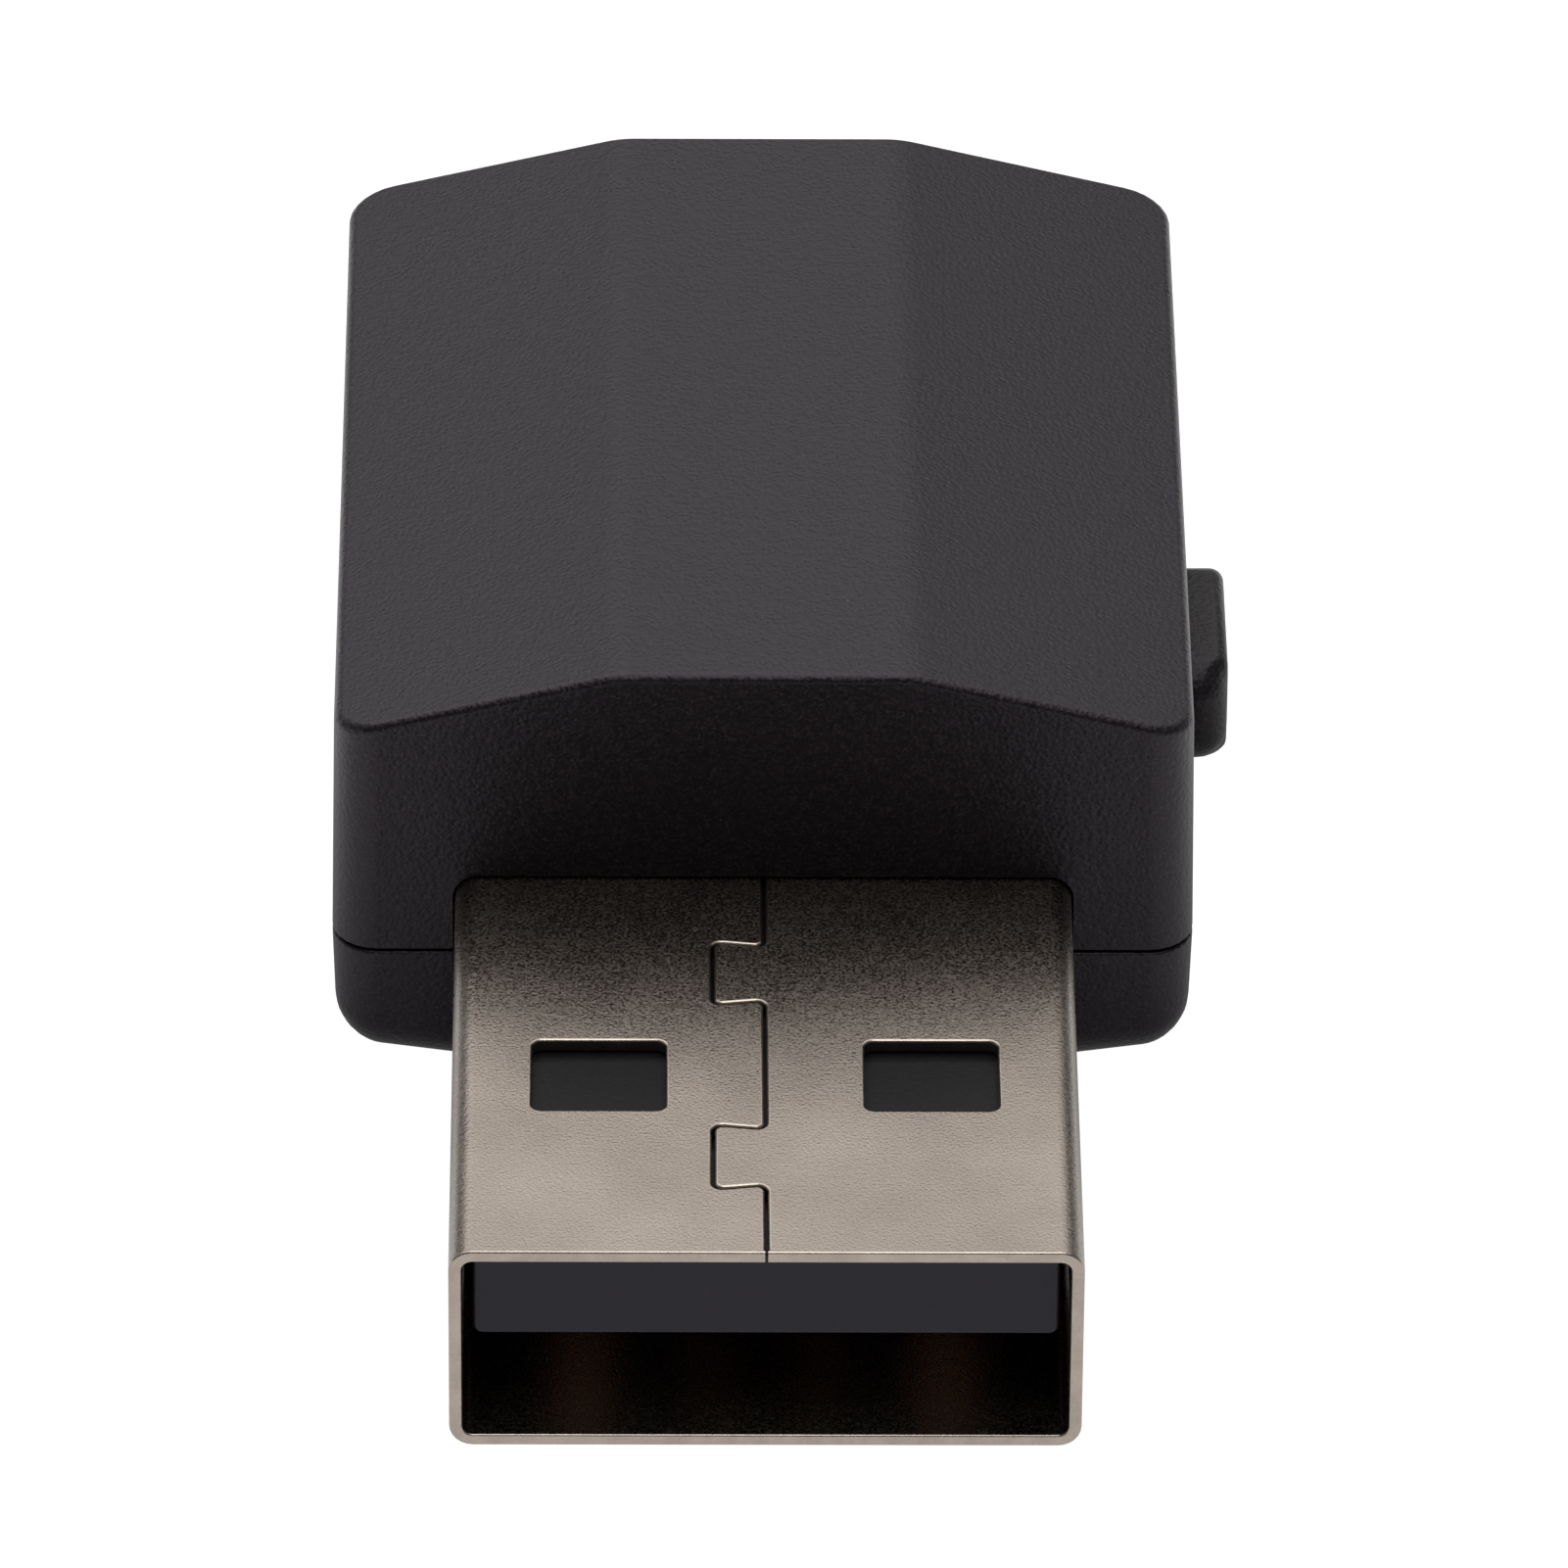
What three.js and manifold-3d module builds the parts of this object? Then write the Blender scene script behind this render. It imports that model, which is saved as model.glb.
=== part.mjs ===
// USB wifi adapter: a two-shell plastic body with a facetted top, a USB-A plug and a side button.
// Millimetres. +X right, -Y towards the plug's tip, +Z up, origin at the middle of the underside.
import * as THREE from 'three';
import { mergeVertices } from 'three/addons/utils/BufferGeometryUtils.js';
import Module from 'manifold-3d';

const wasm = await Module();
wasm.setup();

// ---- Driving dimensions ----

// Body
const BODY_LENGTH = 20.05;
const BODY_HALF_WIDTH = 8.42;
const BODY_HEIGHT = 9.8;
const PARTING_HEIGHT = 3.38;
const TOP_HALF_WIDTH = 8.35;
const TOP_FLAT_HALF_WIDTH = 2.85;
const TOP_SLOPE = THREE.MathUtils.degToRad(14);
const BOTTOM_HALF_WIDTH = 8.38;
const BOTTOM_FLAT_HALF_WIDTH = 2.65;
const BOTTOM_SLOPE = THREE.MathUtils.degToRad(8.3);
const PLAN_CORNER_RADIUS = 0.9;
const TOP_EDGE_RADIUS = 0.25;
const TOP_END_RADIUS = 0.22;
const BOTTOM_EDGE_RADIUS = 1.1;
const BOTTOM_END_RADIUS = 1.0;
const CREASE_RADIUS = 2.5;
const SIDE_WALL = 1.0;
const TOP_WALL = 1.0;
const FLOOR_WALL = 0.8;
const INNER_EDGE_RADIUS = 0.2;

// Lip that locates one shell in the other
const LIP_HEIGHT = 0.5;
const LIP_THICKNESS = 0.4;

// Clearances
const FIT_GAP = 0.05;
const SLIDE_GAP = 0.1;

// USB-A plug
const PLUG_WIDTH = 12.0;
const PLUG_HEIGHT = 4.5;
const PLUG_WALL = 0.25;
const PLUG_CORNER_RADIUS = 0.45;
const PLUG_REACH = 12.54;
const PLUG_AXIS_HEIGHT = 2.85;
const PLUG_INSERT = 5.0;
const LATCH_WINDOW_WIDTH = 2.56;
const LATCH_WINDOW_LENGTH = 2.34;
const LATCH_WINDOW_OFFSET = 3.18;
const LATCH_WINDOW_RADIUS = 0.2;
const LATCH_WINDOW_FROM_TIP = 4.68;
const SEAM_GAP = 0.06;
const SEAM_TAB_REACH = 1.0;
const SEAM_TAB_ROOT = 1.84;
const SEAM_TAB_HEAD = 2.13;
const SEAM_CORNER_RADIUS = 0.18;
const SEAM_TABS_FROM_TIP = [3.15, 9.3];
const LEG_LENGTH = 2.1;
const LEG_BELOW_BOARD = 0.15;
const LEG_ABOVE_BOARD = 1.2;

// Plug insulator and contacts
const TONGUE_HALF_WIDTH = 5.55;
const TONGUE_THICKNESS = 1.88;
const TONGUE_RECESS = 0.4;
const MATING_DEPTH = 9.9;
const CONTACT_WIDTH = 1.0;
const CONTACT_THICKNESS = 0.25;
const CONTACT_PROUD = 0.05;
const OUTER_CONTACT_OFFSET = 3.5;
const INNER_CONTACT_OFFSET = 1.0;
const OUTER_CONTACT_FROM_TIP = 1.6;
const INNER_CONTACT_FROM_TIP = 2.6;
const TAIL_RUN = 0.4;
const TAIL_FOOT_LENGTH = 0.9;

// Circuit board
const BOARD_THICKNESS = 0.8;
const BOARD_TOP = 2.35;
const BOARD_HALF_WIDTH = 7.0;
const BOARD_END_GAP = 0.325;
const POST_RADIUS = 0.6;
const POST_SHOULDER_RADIUS = 0.95;
const POST_PLACES = [[-6.0, 4.6], [5.6, 5.2]];
const SUPPORT_RIB_OFFSET = 4.5;
const RIB_THICKNESS = 0.6;
const CRADLE_RIB_THICKNESS = 0.8;
const HOLD_DOWN_SIZE = 1.0;
const HOLD_DOWN_X = 6.2;
const HOLD_DOWN_FROM_END = 1.0;
const FRONT_ROW_FROM_PLUG = 3.05;
const REAR_ROW_FROM_END = 1.75;
const ANTENNA_FROM_END = 0.5;

// Button on the right side and the switch behind it
const BUTTON_LENGTH = 4.55;
const BUTTON_HEIGHT = 2.3;
const BUTTON_CORNER_RADIUS = 0.8;
const BUTTON_PROUD = 0.91;
const BUTTON_Y = 0.3;
const BUTTON_TRAVEL = 0.3;
const BUTTON_FRONT_ROUNDING = 0.65;
const BUTTON_REAR_ROUNDING = 0.28;
const FLANGE_THICKNESS = 0.5;
const FLANGE_LIP = 0.45;
const SWITCH_LENGTH = 4.5;
const SWITCH_DEPTH = 2.0;
const SWITCH_HEIGHT = 1.7;
const SWITCH_WALL = 0.3;
const SWITCH_FLOOR = 0.35;
const COVER_THICKNESS = 0.15;
const PLUNGER_NOSE_WIDTH = 1.4;
const PLUNGER_NOSE_LENGTH = 0.78;
const PLUNGER_NOSE_HEIGHT = 0.8;
const DOME_THICKNESS = 0.1;
const DOME_RISE = 0.1;

// ---- Derived places ----

const BODY_FRONT = -BODY_LENGTH / 2;
const BODY_REAR = BODY_LENGTH / 2;
const PLUG_TIP = BODY_FRONT - PLUG_REACH;
const PLUG_REAR = BODY_FRONT + PLUG_INSERT;
const PLUG_TOP = PLUG_AXIS_HEIGHT + PLUG_HEIGHT / 2;
const PLUG_BOTTOM = PLUG_AXIS_HEIGHT - PLUG_HEIGHT / 2;
const BOARD_BOTTOM = BOARD_TOP - BOARD_THICKNESS;
const BOARD_FRONT = PLUG_REAR + FIT_GAP;
const BOARD_REAR = BODY_REAR - SIDE_WALL - BOARD_END_GAP;
const FRONT_ROW = PLUG_REAR + FRONT_ROW_FROM_PLUG;
const REAR_ROW = BOARD_REAR - REAR_ROW_FROM_END;
const TONGUE_TOP = PLUG_TOP - PLUG_WALL - FIT_GAP;
const TONGUE_BOTTOM = TONGUE_TOP - TONGUE_THICKNESS;
const WALL_INSIDE = TOP_HALF_WIDTH - SIDE_WALL;
const BUTTON_FACE = BODY_HALF_WIDTH + BUTTON_PROUD;
const FLANGE_OUTSIDE = WALL_INSIDE - FIT_GAP;
const FLANGE_INSIDE = FLANGE_OUTSIDE - FLANGE_THICKNESS;
const FLANGE_TRAVEL_END = FLANGE_INSIDE - BUTTON_TRAVEL - SLIDE_GAP;
const PLUNGER_TIP = FLANGE_INSIDE - FIT_GAP / 2;
const SWITCH_FRONT = PLUNGER_TIP - PLUNGER_NOSE_LENGTH + COVER_THICKNESS / 2;
const SWITCH_BACK = SWITCH_FRONT - SWITCH_DEPTH;
const SWITCH_MIDDLE_HEIGHT = BOARD_TOP + SWITCH_HEIGHT / 2;

const ARC_STEPS = 3;
const DOME_STEPS = 8;
const ROUNDING_LIMIT = 0.9;
const MARGIN = 1.0;

// ---- Shape helpers ----

// A closed outline from corners [x, y, radius], each rounded by an arc of its radius.
function roundedOutline(corners) {
  const shape = new THREE.Shape();
  const point = (index) => new THREE.Vector2(...corners.at(index % corners.length));
  corners.forEach(([x, y, radius = 0], index) => {
    const here = new THREE.Vector2(x, y);
    const back = point(index - 1).sub(here).normalize();
    const ahead = point(index + 1).sub(here).normalize();
    if (radius === 0) {
      if (index === 0) shape.moveTo(x, y);
      else shape.lineTo(x, y);
      return;
    }
    const halfAngle = Math.acos(back.dot(ahead)) / 2;
    const inward = back.clone().add(ahead).normalize();
    const middle = inward.multiplyScalar(radius / Math.sin(halfAngle)).add(here);
    const start = back.clone().multiplyScalar(radius / Math.tan(halfAngle)).add(here).sub(middle);
    const end = ahead.clone().multiplyScalar(radius / Math.tan(halfAngle)).add(here).sub(middle);
    shape.absarc(middle.x, middle.y, radius, start.angle(), end.angle(), back.cross(ahead) > 0);
  });
  return shape;
}

// A rectangle centred on (x, y) with rounded corners.
function roundedRectangle(x, y, width, height, radius) {
  const [w, h] = [width / 2, height / 2];
  return roundedOutline([
    [x - w, y - h, radius], [x + w, y - h, radius], [x + w, y + h, radius], [x - w, y + h, radius],
  ]);
}

// The points of one side, then the same points mirrored in X, as one outline.
function mirrored(rightSide) {
  const leftSide = rightSide.map(([x, z, radius]) => [-x, z, radius]).reverse();
  return roundedOutline([...rightSide, ...leftSide]);
}

const FRAMES = {
  x: [new THREE.Vector3(0, 1, 0), new THREE.Vector3(0, 0, 1), new THREE.Vector3(1, 0, 0)],
  y: [new THREE.Vector3(-1, 0, 0), new THREE.Vector3(0, 0, 1), new THREE.Vector3(0, 1, 0)],
  z: [new THREE.Vector3(1, 0, 0), new THREE.Vector3(0, 1, 0), new THREE.Vector3(0, 0, 1)],
};

// An outline swept along an axis from one place to another, with its end edges rounded by a radius.
// Along x the outline is drawn in (y, z), along z in (x, y), and along y in (x, z), mirrored in x.
function sweep(outline, axis, from, to, radius = 0) {
  const rounding = {
    bevelEnabled: radius > 0, bevelThickness: radius, bevelSize: radius, bevelOffset: -radius, bevelSegments: 4,
  };
  const depth = to - from - 2 * radius;
  const geometry = new THREE.ExtrudeGeometry(outline, { depth, curveSegments: ARC_STEPS, ...rounding });
  geometry.translate(0, 0, from + radius);
  geometry.applyMatrix4(new THREE.Matrix4().makeBasis(...FRAMES[axis]));
  return toSolid(geometry);
}

function block(x0, x1, y0, y1, z0, z1) {
  const geometry = new THREE.BoxGeometry(x1 - x0, y1 - y0, z1 - z0);
  geometry.translate((x0 + x1) / 2, (y0 + y1) / 2, (z0 + z1) / 2);
  return toSolid(geometry);
}

// A block of a size, centred on x and y, standing on a height.
function chip(x, y, width, length, height, base = BOARD_TOP) {
  return block(x - width / 2, x + width / 2, y - length / 2, y + length / 2, base, base + height);
}

// An upright cylinder between two heights.
function pin(x, y, radius, z0, z1) {
  const geometry = new THREE.CylinderGeometry(radius, radius, z1 - z0, 16);
  geometry.rotateX(Math.PI / 2);
  geometry.translate(x, y, (z0 + z1) / 2);
  return toSolid(geometry);
}

// A geometry as a solid: its vertices are merged, and the triangles that this leaves empty are dropped.
function toSolid(geometry) {
  geometry.deleteAttribute('normal');
  geometry.deleteAttribute('uv');
  const merged = mergeVertices(geometry, 1e-4);
  const corners = Array.from(merged.index.array);
  const triVerts = corners.flatMap((_, index) => {
    const [a, b, c] = corners.slice(index, index + 3);
    return index % 3 === 0 && a !== b && b !== c && c !== a ? [a, b, c] : [];
  });
  const vertProperties = merged.attributes.position.array;
  return new wasm.Manifold(new wasm.Mesh({ numProp: 3, vertProperties, triVerts: Uint32Array.from(triVerts) }));
}

const join = (...solids) => solids.reduce((whole, next) => whole.add(next));
const cut = (solid, ...tools) => tools.reduce((whole, tool) => whole.subtract(tool), solid);

// ---- Finishes ----

const FINISHES = {
  blackPlastic: { color: 0x2b2a2c, roughness: 0.62, metalness: 0 },
  insulator: { color: 0x17171a, roughness: 0.5, metalness: 0 },
  nickelSteel: { color: 0xc9c1b3, roughness: 0.32, metalness: 1 },
  gold: { color: 0xd9ae55, roughness: 0.25, metalness: 1 },
  laminate: { color: 0x1d5a38, roughness: 0.5, metalness: 0 },
  moulding: { color: 0x1b1b1d, roughness: 0.45, metalness: 0 },
  tin: { color: 0xc4c6c8, roughness: 0.35, metalness: 1 },
  springSteel: { color: 0xb9b6ae, roughness: 0.3, metalness: 1 },
  ferrite: { color: 0x3a3a3c, roughness: 0.7, metalness: 0 },
  ceramic: { color: 0x9a7b52, roughness: 0.5, metalness: 0 },
  copperAlloy: { color: 0xc9b48a, roughness: 0.35, metalness: 1 },
};

const adapter = new THREE.Group();

// Adds one finished piece to the adapter under its name.
function place(name, solid, finish) {
  const mesh = solid.getMesh();
  const geometry = new THREE.BufferGeometry();
  geometry.setAttribute('position', new THREE.BufferAttribute(new Float32Array(mesh.vertProperties), 3));
  geometry.setIndex(new THREE.BufferAttribute(new Uint32Array(mesh.triVerts), 1));
  geometry.computeVertexNormals();
  const piece = new THREE.Mesh(geometry, new THREE.MeshStandardMaterial(FINISHES[finish]));
  piece.name = name;
  adapter.add(piece);
}

// ---- Body envelope ----

// Height of the facetted top at a distance from the middle, moved in by a wall.
function topFacetHeight(x, wall) {
  return BODY_HEIGHT - Math.tan(TOP_SLOPE) * (x - TOP_FLAT_HALF_WIDTH) - wall / Math.cos(TOP_SLOPE);
}

// Height of the facetted underside at a distance from the middle, moved in by a wall.
function bottomFacetHeight(x, wall) {
  return Math.tan(BOTTOM_SLOPE) * (x - BOTTOM_FLAT_HALF_WIDTH) + wall / Math.cos(BOTTOM_SLOPE);
}

// Everything inside the body's outline above the parting plane, moved in by the walls.
function upperEnvelope(sideWall, topWall, edgeRadius, endRadius, base = PARTING_HEIGHT) {
  const crease = TOP_FLAT_HALF_WIDTH - topWall * Math.tan(TOP_SLOPE / 2);
  const edge = TOP_HALF_WIDTH - sideWall;
  const section = mirrored([
    [BODY_HALF_WIDTH - sideWall, base - MARGIN, 0],
    [BODY_HALF_WIDTH - sideWall, PARTING_HEIGHT, 0],
    [edge, topFacetHeight(edge, topWall), edgeRadius],
    [crease, BODY_HEIGHT - topWall, CREASE_RADIUS],
  ]);
  const rounding = Math.min(endRadius, ROUNDING_LIMIT * edgeRadius);
  const whole = sweep(section, 'y', BODY_FRONT + sideWall, BODY_REAR - sideWall, rounding);
  return whole.intersect(planColumn(sideWall, base, BODY_HEIGHT));
}

// Everything inside the body's outline below the parting plane, moved in by the walls.
function lowerEnvelope(sideWall, floorWall, edgeRadius, endRadius, top = PARTING_HEIGHT) {
  const crease = BOTTOM_FLAT_HALF_WIDTH - floorWall * Math.tan(BOTTOM_SLOPE / 2);
  const edge = BOTTOM_HALF_WIDTH - sideWall;
  const section = mirrored([
    [crease, floorWall, CREASE_RADIUS],
    [edge, bottomFacetHeight(edge, floorWall), edgeRadius],
    [BODY_HALF_WIDTH - sideWall, PARTING_HEIGHT, 0],
    [BODY_HALF_WIDTH - sideWall, top + MARGIN, 0],
  ]);
  const rounding = Math.min(endRadius, ROUNDING_LIMIT * edgeRadius);
  const whole = sweep(section, 'y', BODY_FRONT + sideWall, BODY_REAR - sideWall, rounding);
  return whole.intersect(planColumn(sideWall, 0, top));
}

// The body's plan outline as a column between two heights, moved in by a wall.
function planColumn(wall, z0, z1) {
  const radius = Math.max(PLAN_CORNER_RADIUS - wall, INNER_EDGE_RADIUS);
  const outline = roundedRectangle(0, 0, 2 * (BODY_HALF_WIDTH - wall), BODY_LENGTH - 2 * wall, radius);
  return sweep(outline, 'z', z0, z1);
}

// The room that the plug needs in the shells, from in front of the body to its rear end.
function plugRoom() {
  const outline = roundedRectangle(
    0, PLUG_AXIS_HEIGHT, PLUG_WIDTH + 2 * FIT_GAP, PLUG_HEIGHT + 2 * FIT_GAP, PLUG_CORNER_RADIUS + FIT_GAP);
  return sweep(outline, 'y', BODY_FRONT - MARGIN, PLUG_REAR + FIT_GAP);
}

// The outline of the button seen from the side, made larger by a gap.
function buttonOutline(gap) {
  return roundedRectangle(
    BUTTON_Y, PARTING_HEIGHT, BUTTON_LENGTH + 2 * gap, BUTTON_HEIGHT + 2 * gap, BUTTON_CORNER_RADIUS + gap);
}

// The outline of the room around the button's flange seen from the side.
const flangeOutline = () => buttonOutline(FLANGE_LIP + SLIDE_GAP);

// The room that the button and its flange need in the shells, travel included.
function buttonRoom() {
  const throughWall = sweep(buttonOutline(SLIDE_GAP), 'x', FLANGE_INSIDE, BUTTON_FACE + MARGIN);
  const behindWall = sweep(flangeOutline(), 'x', FLANGE_TRAVEL_END, FLANGE_OUTSIDE + FIT_GAP);
  return join(throughWall, behindWall);
}

// ---- Shells ----

// The rib that holds the plug at its rear, across the whole inside between two heights.
function cradleRib(z0, z1) {
  const rear = PLUG_REAR - INNER_EDGE_RADIUS;
  const half = BODY_HALF_WIDTH - SIDE_WALL / 2;
  return block(-half, half, rear - CRADLE_RIB_THICKNESS, rear, z0, z1);
}

function lowerShell() {
  const outside = lowerEnvelope(0, 0, BOTTOM_EDGE_RADIUS, BOTTOM_END_RADIUS);
  const cavity = lowerEnvelope(SIDE_WALL, FLOOR_WALL, INNER_EDGE_RADIUS, 0, PARTING_HEIGHT + MARGIN);
  const lipOutside = SIDE_WALL - LIP_THICKNESS;
  const lip = cut(
    planColumn(lipOutside, PARTING_HEIGHT - MARGIN, PARTING_HEIGHT + LIP_HEIGHT),
    planColumn(SIDE_WALL, PARTING_HEIGHT - 2 * MARGIN, PARTING_HEIGHT + 2 * LIP_HEIGHT));
  const ribs = [-1, 1].map((side) => {
    const middle = side * SUPPORT_RIB_OFFSET;
    const half = RIB_THICKNESS / 2;
    return block(middle - half, middle + half, PLUG_REAR + MARGIN, BOARD_REAR - MARGIN, 0, BOARD_BOTTOM);
  });
  const posts = POST_PLACES.flatMap(([x, y]) => [
    pin(x, y, POST_SHOULDER_RADIUS, 0, BOARD_BOTTOM),
    pin(x, y, POST_RADIUS, 0, BOARD_TOP + FIT_GAP),
  ]);
  const inside = join(cradleRib(0, PARTING_HEIGHT), ...ribs, ...posts);
  const shell = join(cut(outside, cavity), lip, inside.intersect(outside));
  return cut(shell, plugRoom(), buttonRoom());
}

function upperShell() {
  const outside = upperEnvelope(0, 0, TOP_EDGE_RADIUS, TOP_END_RADIUS);
  const cavity = upperEnvelope(SIDE_WALL, TOP_WALL, INNER_EDGE_RADIUS, 0, PARTING_HEIGHT - MARGIN);
  const recess = planColumn(
    SIDE_WALL - LIP_THICKNESS - FIT_GAP, PARTING_HEIGHT - MARGIN, PARTING_HEIGHT + LIP_HEIGHT + FIT_GAP);
  const holdDowns = [-1, 1].map((side) => chip(
    side * HOLD_DOWN_X, BOARD_REAR - HOLD_DOWN_FROM_END, HOLD_DOWN_SIZE, HOLD_DOWN_SIZE,
    BODY_HEIGHT, BOARD_TOP + FIT_GAP));
  const ceiling = planColumn(SIDE_WALL / 2, 0, BODY_HEIGHT).intersect(
    upperEnvelope(SIDE_WALL / 2, TOP_WALL / 2, INNER_EDGE_RADIUS, 0, BOARD_TOP - MARGIN));
  const lipTop = PARTING_HEIGHT + LIP_HEIGHT + FIT_GAP;
  const rib = cradleRib(lipTop, BODY_HEIGHT).intersect(ceiling);
  const shell = join(cut(outside, cavity, recess), rib, join(...holdDowns).intersect(ceiling));
  return cut(shell, plugRoom(), buttonRoom());
}

// ---- Plug ----

// The gap that the rolled shell's two ends meet at, with its dovetail tabs, as a thin strip.
function seamStrip() {
  const half = SEAM_GAP / 2;
  const tabs = SEAM_TABS_FROM_TIP.flatMap((fromTip) => {
    const middle = PLUG_TIP + fromTip;
    return [
      [0, middle - SEAM_TAB_ROOT / 2, half], [-SEAM_TAB_REACH, middle - SEAM_TAB_HEAD / 2, half],
      [-SEAM_TAB_REACH, middle + SEAM_TAB_HEAD / 2, -half], [0, middle + SEAM_TAB_ROOT / 2, -half],
    ];
  });
  const corners = [[0, PLUG_TIP - MARGIN, 0], ...tabs, [0, PLUG_REAR + MARGIN, 0]];
  const radius = (shift) => (shift === 0 ? 0 : SEAM_CORNER_RADIUS);
  const right = corners.map(([x, y, shift]) => [x + half, y + shift, radius(shift)]);
  const left = corners.map(([x, y, shift]) => [x - half, y - shift, radius(shift)]).reverse();
  return sweep(roundedOutline([...right, ...left]), 'z', PLUG_AXIS_HEIGHT, PLUG_TOP + MARGIN);
}

function plugShell() {
  const outline = roundedRectangle(0, PLUG_AXIS_HEIGHT, PLUG_WIDTH, PLUG_HEIGHT, PLUG_CORNER_RADIUS);
  const tube = cut(
    sweep(outline, 'y', PLUG_TIP, PLUG_REAR),
    sweep(plugBore(0), 'y', PLUG_TIP - MARGIN, PLUG_REAR + MARGIN));
  const windowMiddle = PLUG_TIP + LATCH_WINDOW_FROM_TIP + LATCH_WINDOW_LENGTH / 2;
  const windows = [-1, 1].map((side) => sweep(
    roundedRectangle(
      side * LATCH_WINDOW_OFFSET, windowMiddle, LATCH_WINDOW_WIDTH, LATCH_WINDOW_LENGTH, LATCH_WINDOW_RADIUS),
    'z', PLUG_BOTTOM - MARGIN, PLUG_TOP + MARGIN));
  const legs = [-1, 1].map((side) => chip(
    side * (PLUG_WIDTH - PLUG_WALL) / 2, PLUG_REAR, PLUG_WALL, 2 * LEG_LENGTH,
    BOARD_THICKNESS + LEG_BELOW_BOARD + LEG_ABOVE_BOARD, BOARD_BOTTOM - LEG_BELOW_BOARD));
  return cut(join(tube, ...legs), ...windows, seamStrip());
}

// The outline of the plug shell's inside, made smaller by a gap.
function plugBore(gap) {
  const [width, height] = [PLUG_WIDTH, PLUG_HEIGHT].map((size) => size - 2 * (PLUG_WALL + gap));
  return roundedRectangle(0, PLUG_AXIS_HEIGHT, width, height, PLUG_CORNER_RADIUS - PLUG_WALL);
}

// One contact's outline seen from the side: a blade under the tongue, then a bent tail on the board.
function contactOutline(fromTip, gap) {
  const bladeBottom = TONGUE_BOTTOM - CONTACT_PROUD - gap;
  const bladeTop = TONGUE_BOTTOM - CONTACT_PROUD + CONTACT_THICKNESS + gap;
  const [footBottom, footTop] = [BOARD_TOP - gap, BOARD_TOP + CONTACT_THICKNESS + gap];
  const front = PLUG_TIP + fromTip - gap;
  const bend = PLUG_REAR + TAIL_RUN;
  const foot = bend + TAIL_RUN;
  const heel = foot + TAIL_FOOT_LENGTH;
  const overBend = CONTACT_THICKNESS / 2;
  return roundedOutline([
    [front, bladeBottom], [bend, bladeBottom], [foot, footBottom], [heel, footBottom],
    [heel, footTop], [foot + overBend, footTop], [bend + overBend, bladeTop], [front, bladeTop],
  ]);
}

function contact(x, fromTip, gap = 0) {
  const half = CONTACT_WIDTH / 2 + gap;
  return sweep(contactOutline(fromTip, gap), 'x', x - half, x + half);
}

const CONTACTS = [
  ['contact_vbus', OUTER_CONTACT_OFFSET, OUTER_CONTACT_FROM_TIP],
  ['contact_data_minus', INNER_CONTACT_OFFSET, INNER_CONTACT_FROM_TIP],
  ['contact_data_plus', -INNER_CONTACT_OFFSET, INNER_CONTACT_FROM_TIP],
  ['contact_ground', -OUTER_CONTACT_OFFSET, OUTER_CONTACT_FROM_TIP],
];

function plugInsulator() {
  const tongueMiddle = (TONGUE_TOP + TONGUE_BOTTOM) / 2;
  const tongueOutline = roundedRectangle(
    0, tongueMiddle, 2 * TONGUE_HALF_WIDTH, TONGUE_THICKNESS, PLUG_CORNER_RADIUS - PLUG_WALL);
  const tongue = sweep(tongueOutline, 'y', PLUG_TIP + TONGUE_RECESS, PLUG_REAR);
  const base = sweep(plugBore(FIT_GAP), 'y', PLUG_TIP + MATING_DEPTH, PLUG_REAR);
  return cut(join(tongue, base), ...CONTACTS.map(([, x, fromTip]) => contact(x, fromTip, FIT_GAP / 2)));
}

// ---- Circuit board and what is on it ----

// Flat packages: middle x and y, width, length, height and finish.
const PACKAGES = {
  wifi_chip: [-1.9, 2.4, 5.0, 5.0, 0.85, 'moulding'],
  crystal: [1.9, 4.3, 2.0, 1.6, 0.55, 'tin'],
  rf_front_end: [1.9, 1.4, 2.0, 2.0, 0.55, 'moulding'],
  power_inductor: [-1.3, FRONT_ROW, 2.4, 1.8, 1.2, 'ferrite'],
  memory_chip: [-2.8, REAR_ROW, 3.0, 1.8, 0.55, 'moulding'],
};

// Packages with legs: middle x and y, width, length, height and legs on each side.
const LEGGED_PACKAGES = {
  voltage_regulator: [-4.3, FRONT_ROW, 2.9, 1.6, 1.1, 3],
  surge_protector: [1.5, FRONT_ROW, 2.0, 1.25, 0.85, 3],
};

const CAPACITOR = { x: -5.9, firstY: -0.2, pitch: 1.15, count: 4, height: 0.5 };
const RESISTOR = { y: REAR_ROW, firstX: 0.4, pitch: 1.2, count: 3, height: 0.35 };
const END_CAPPED = { length: 1.0, width: 0.5, cap: 0.25 };
const SHIELD = { x: -0.8, y: 2.6, width: 8.2, length: 6.6, height: 1.5, wall: 0.15 };
const ANTENNA = { length: 9.6, thickness: 0.25, clear: 1.2, height: 3.0, arm: 0.9, leg: 0.8, fold: 1.4 };

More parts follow.
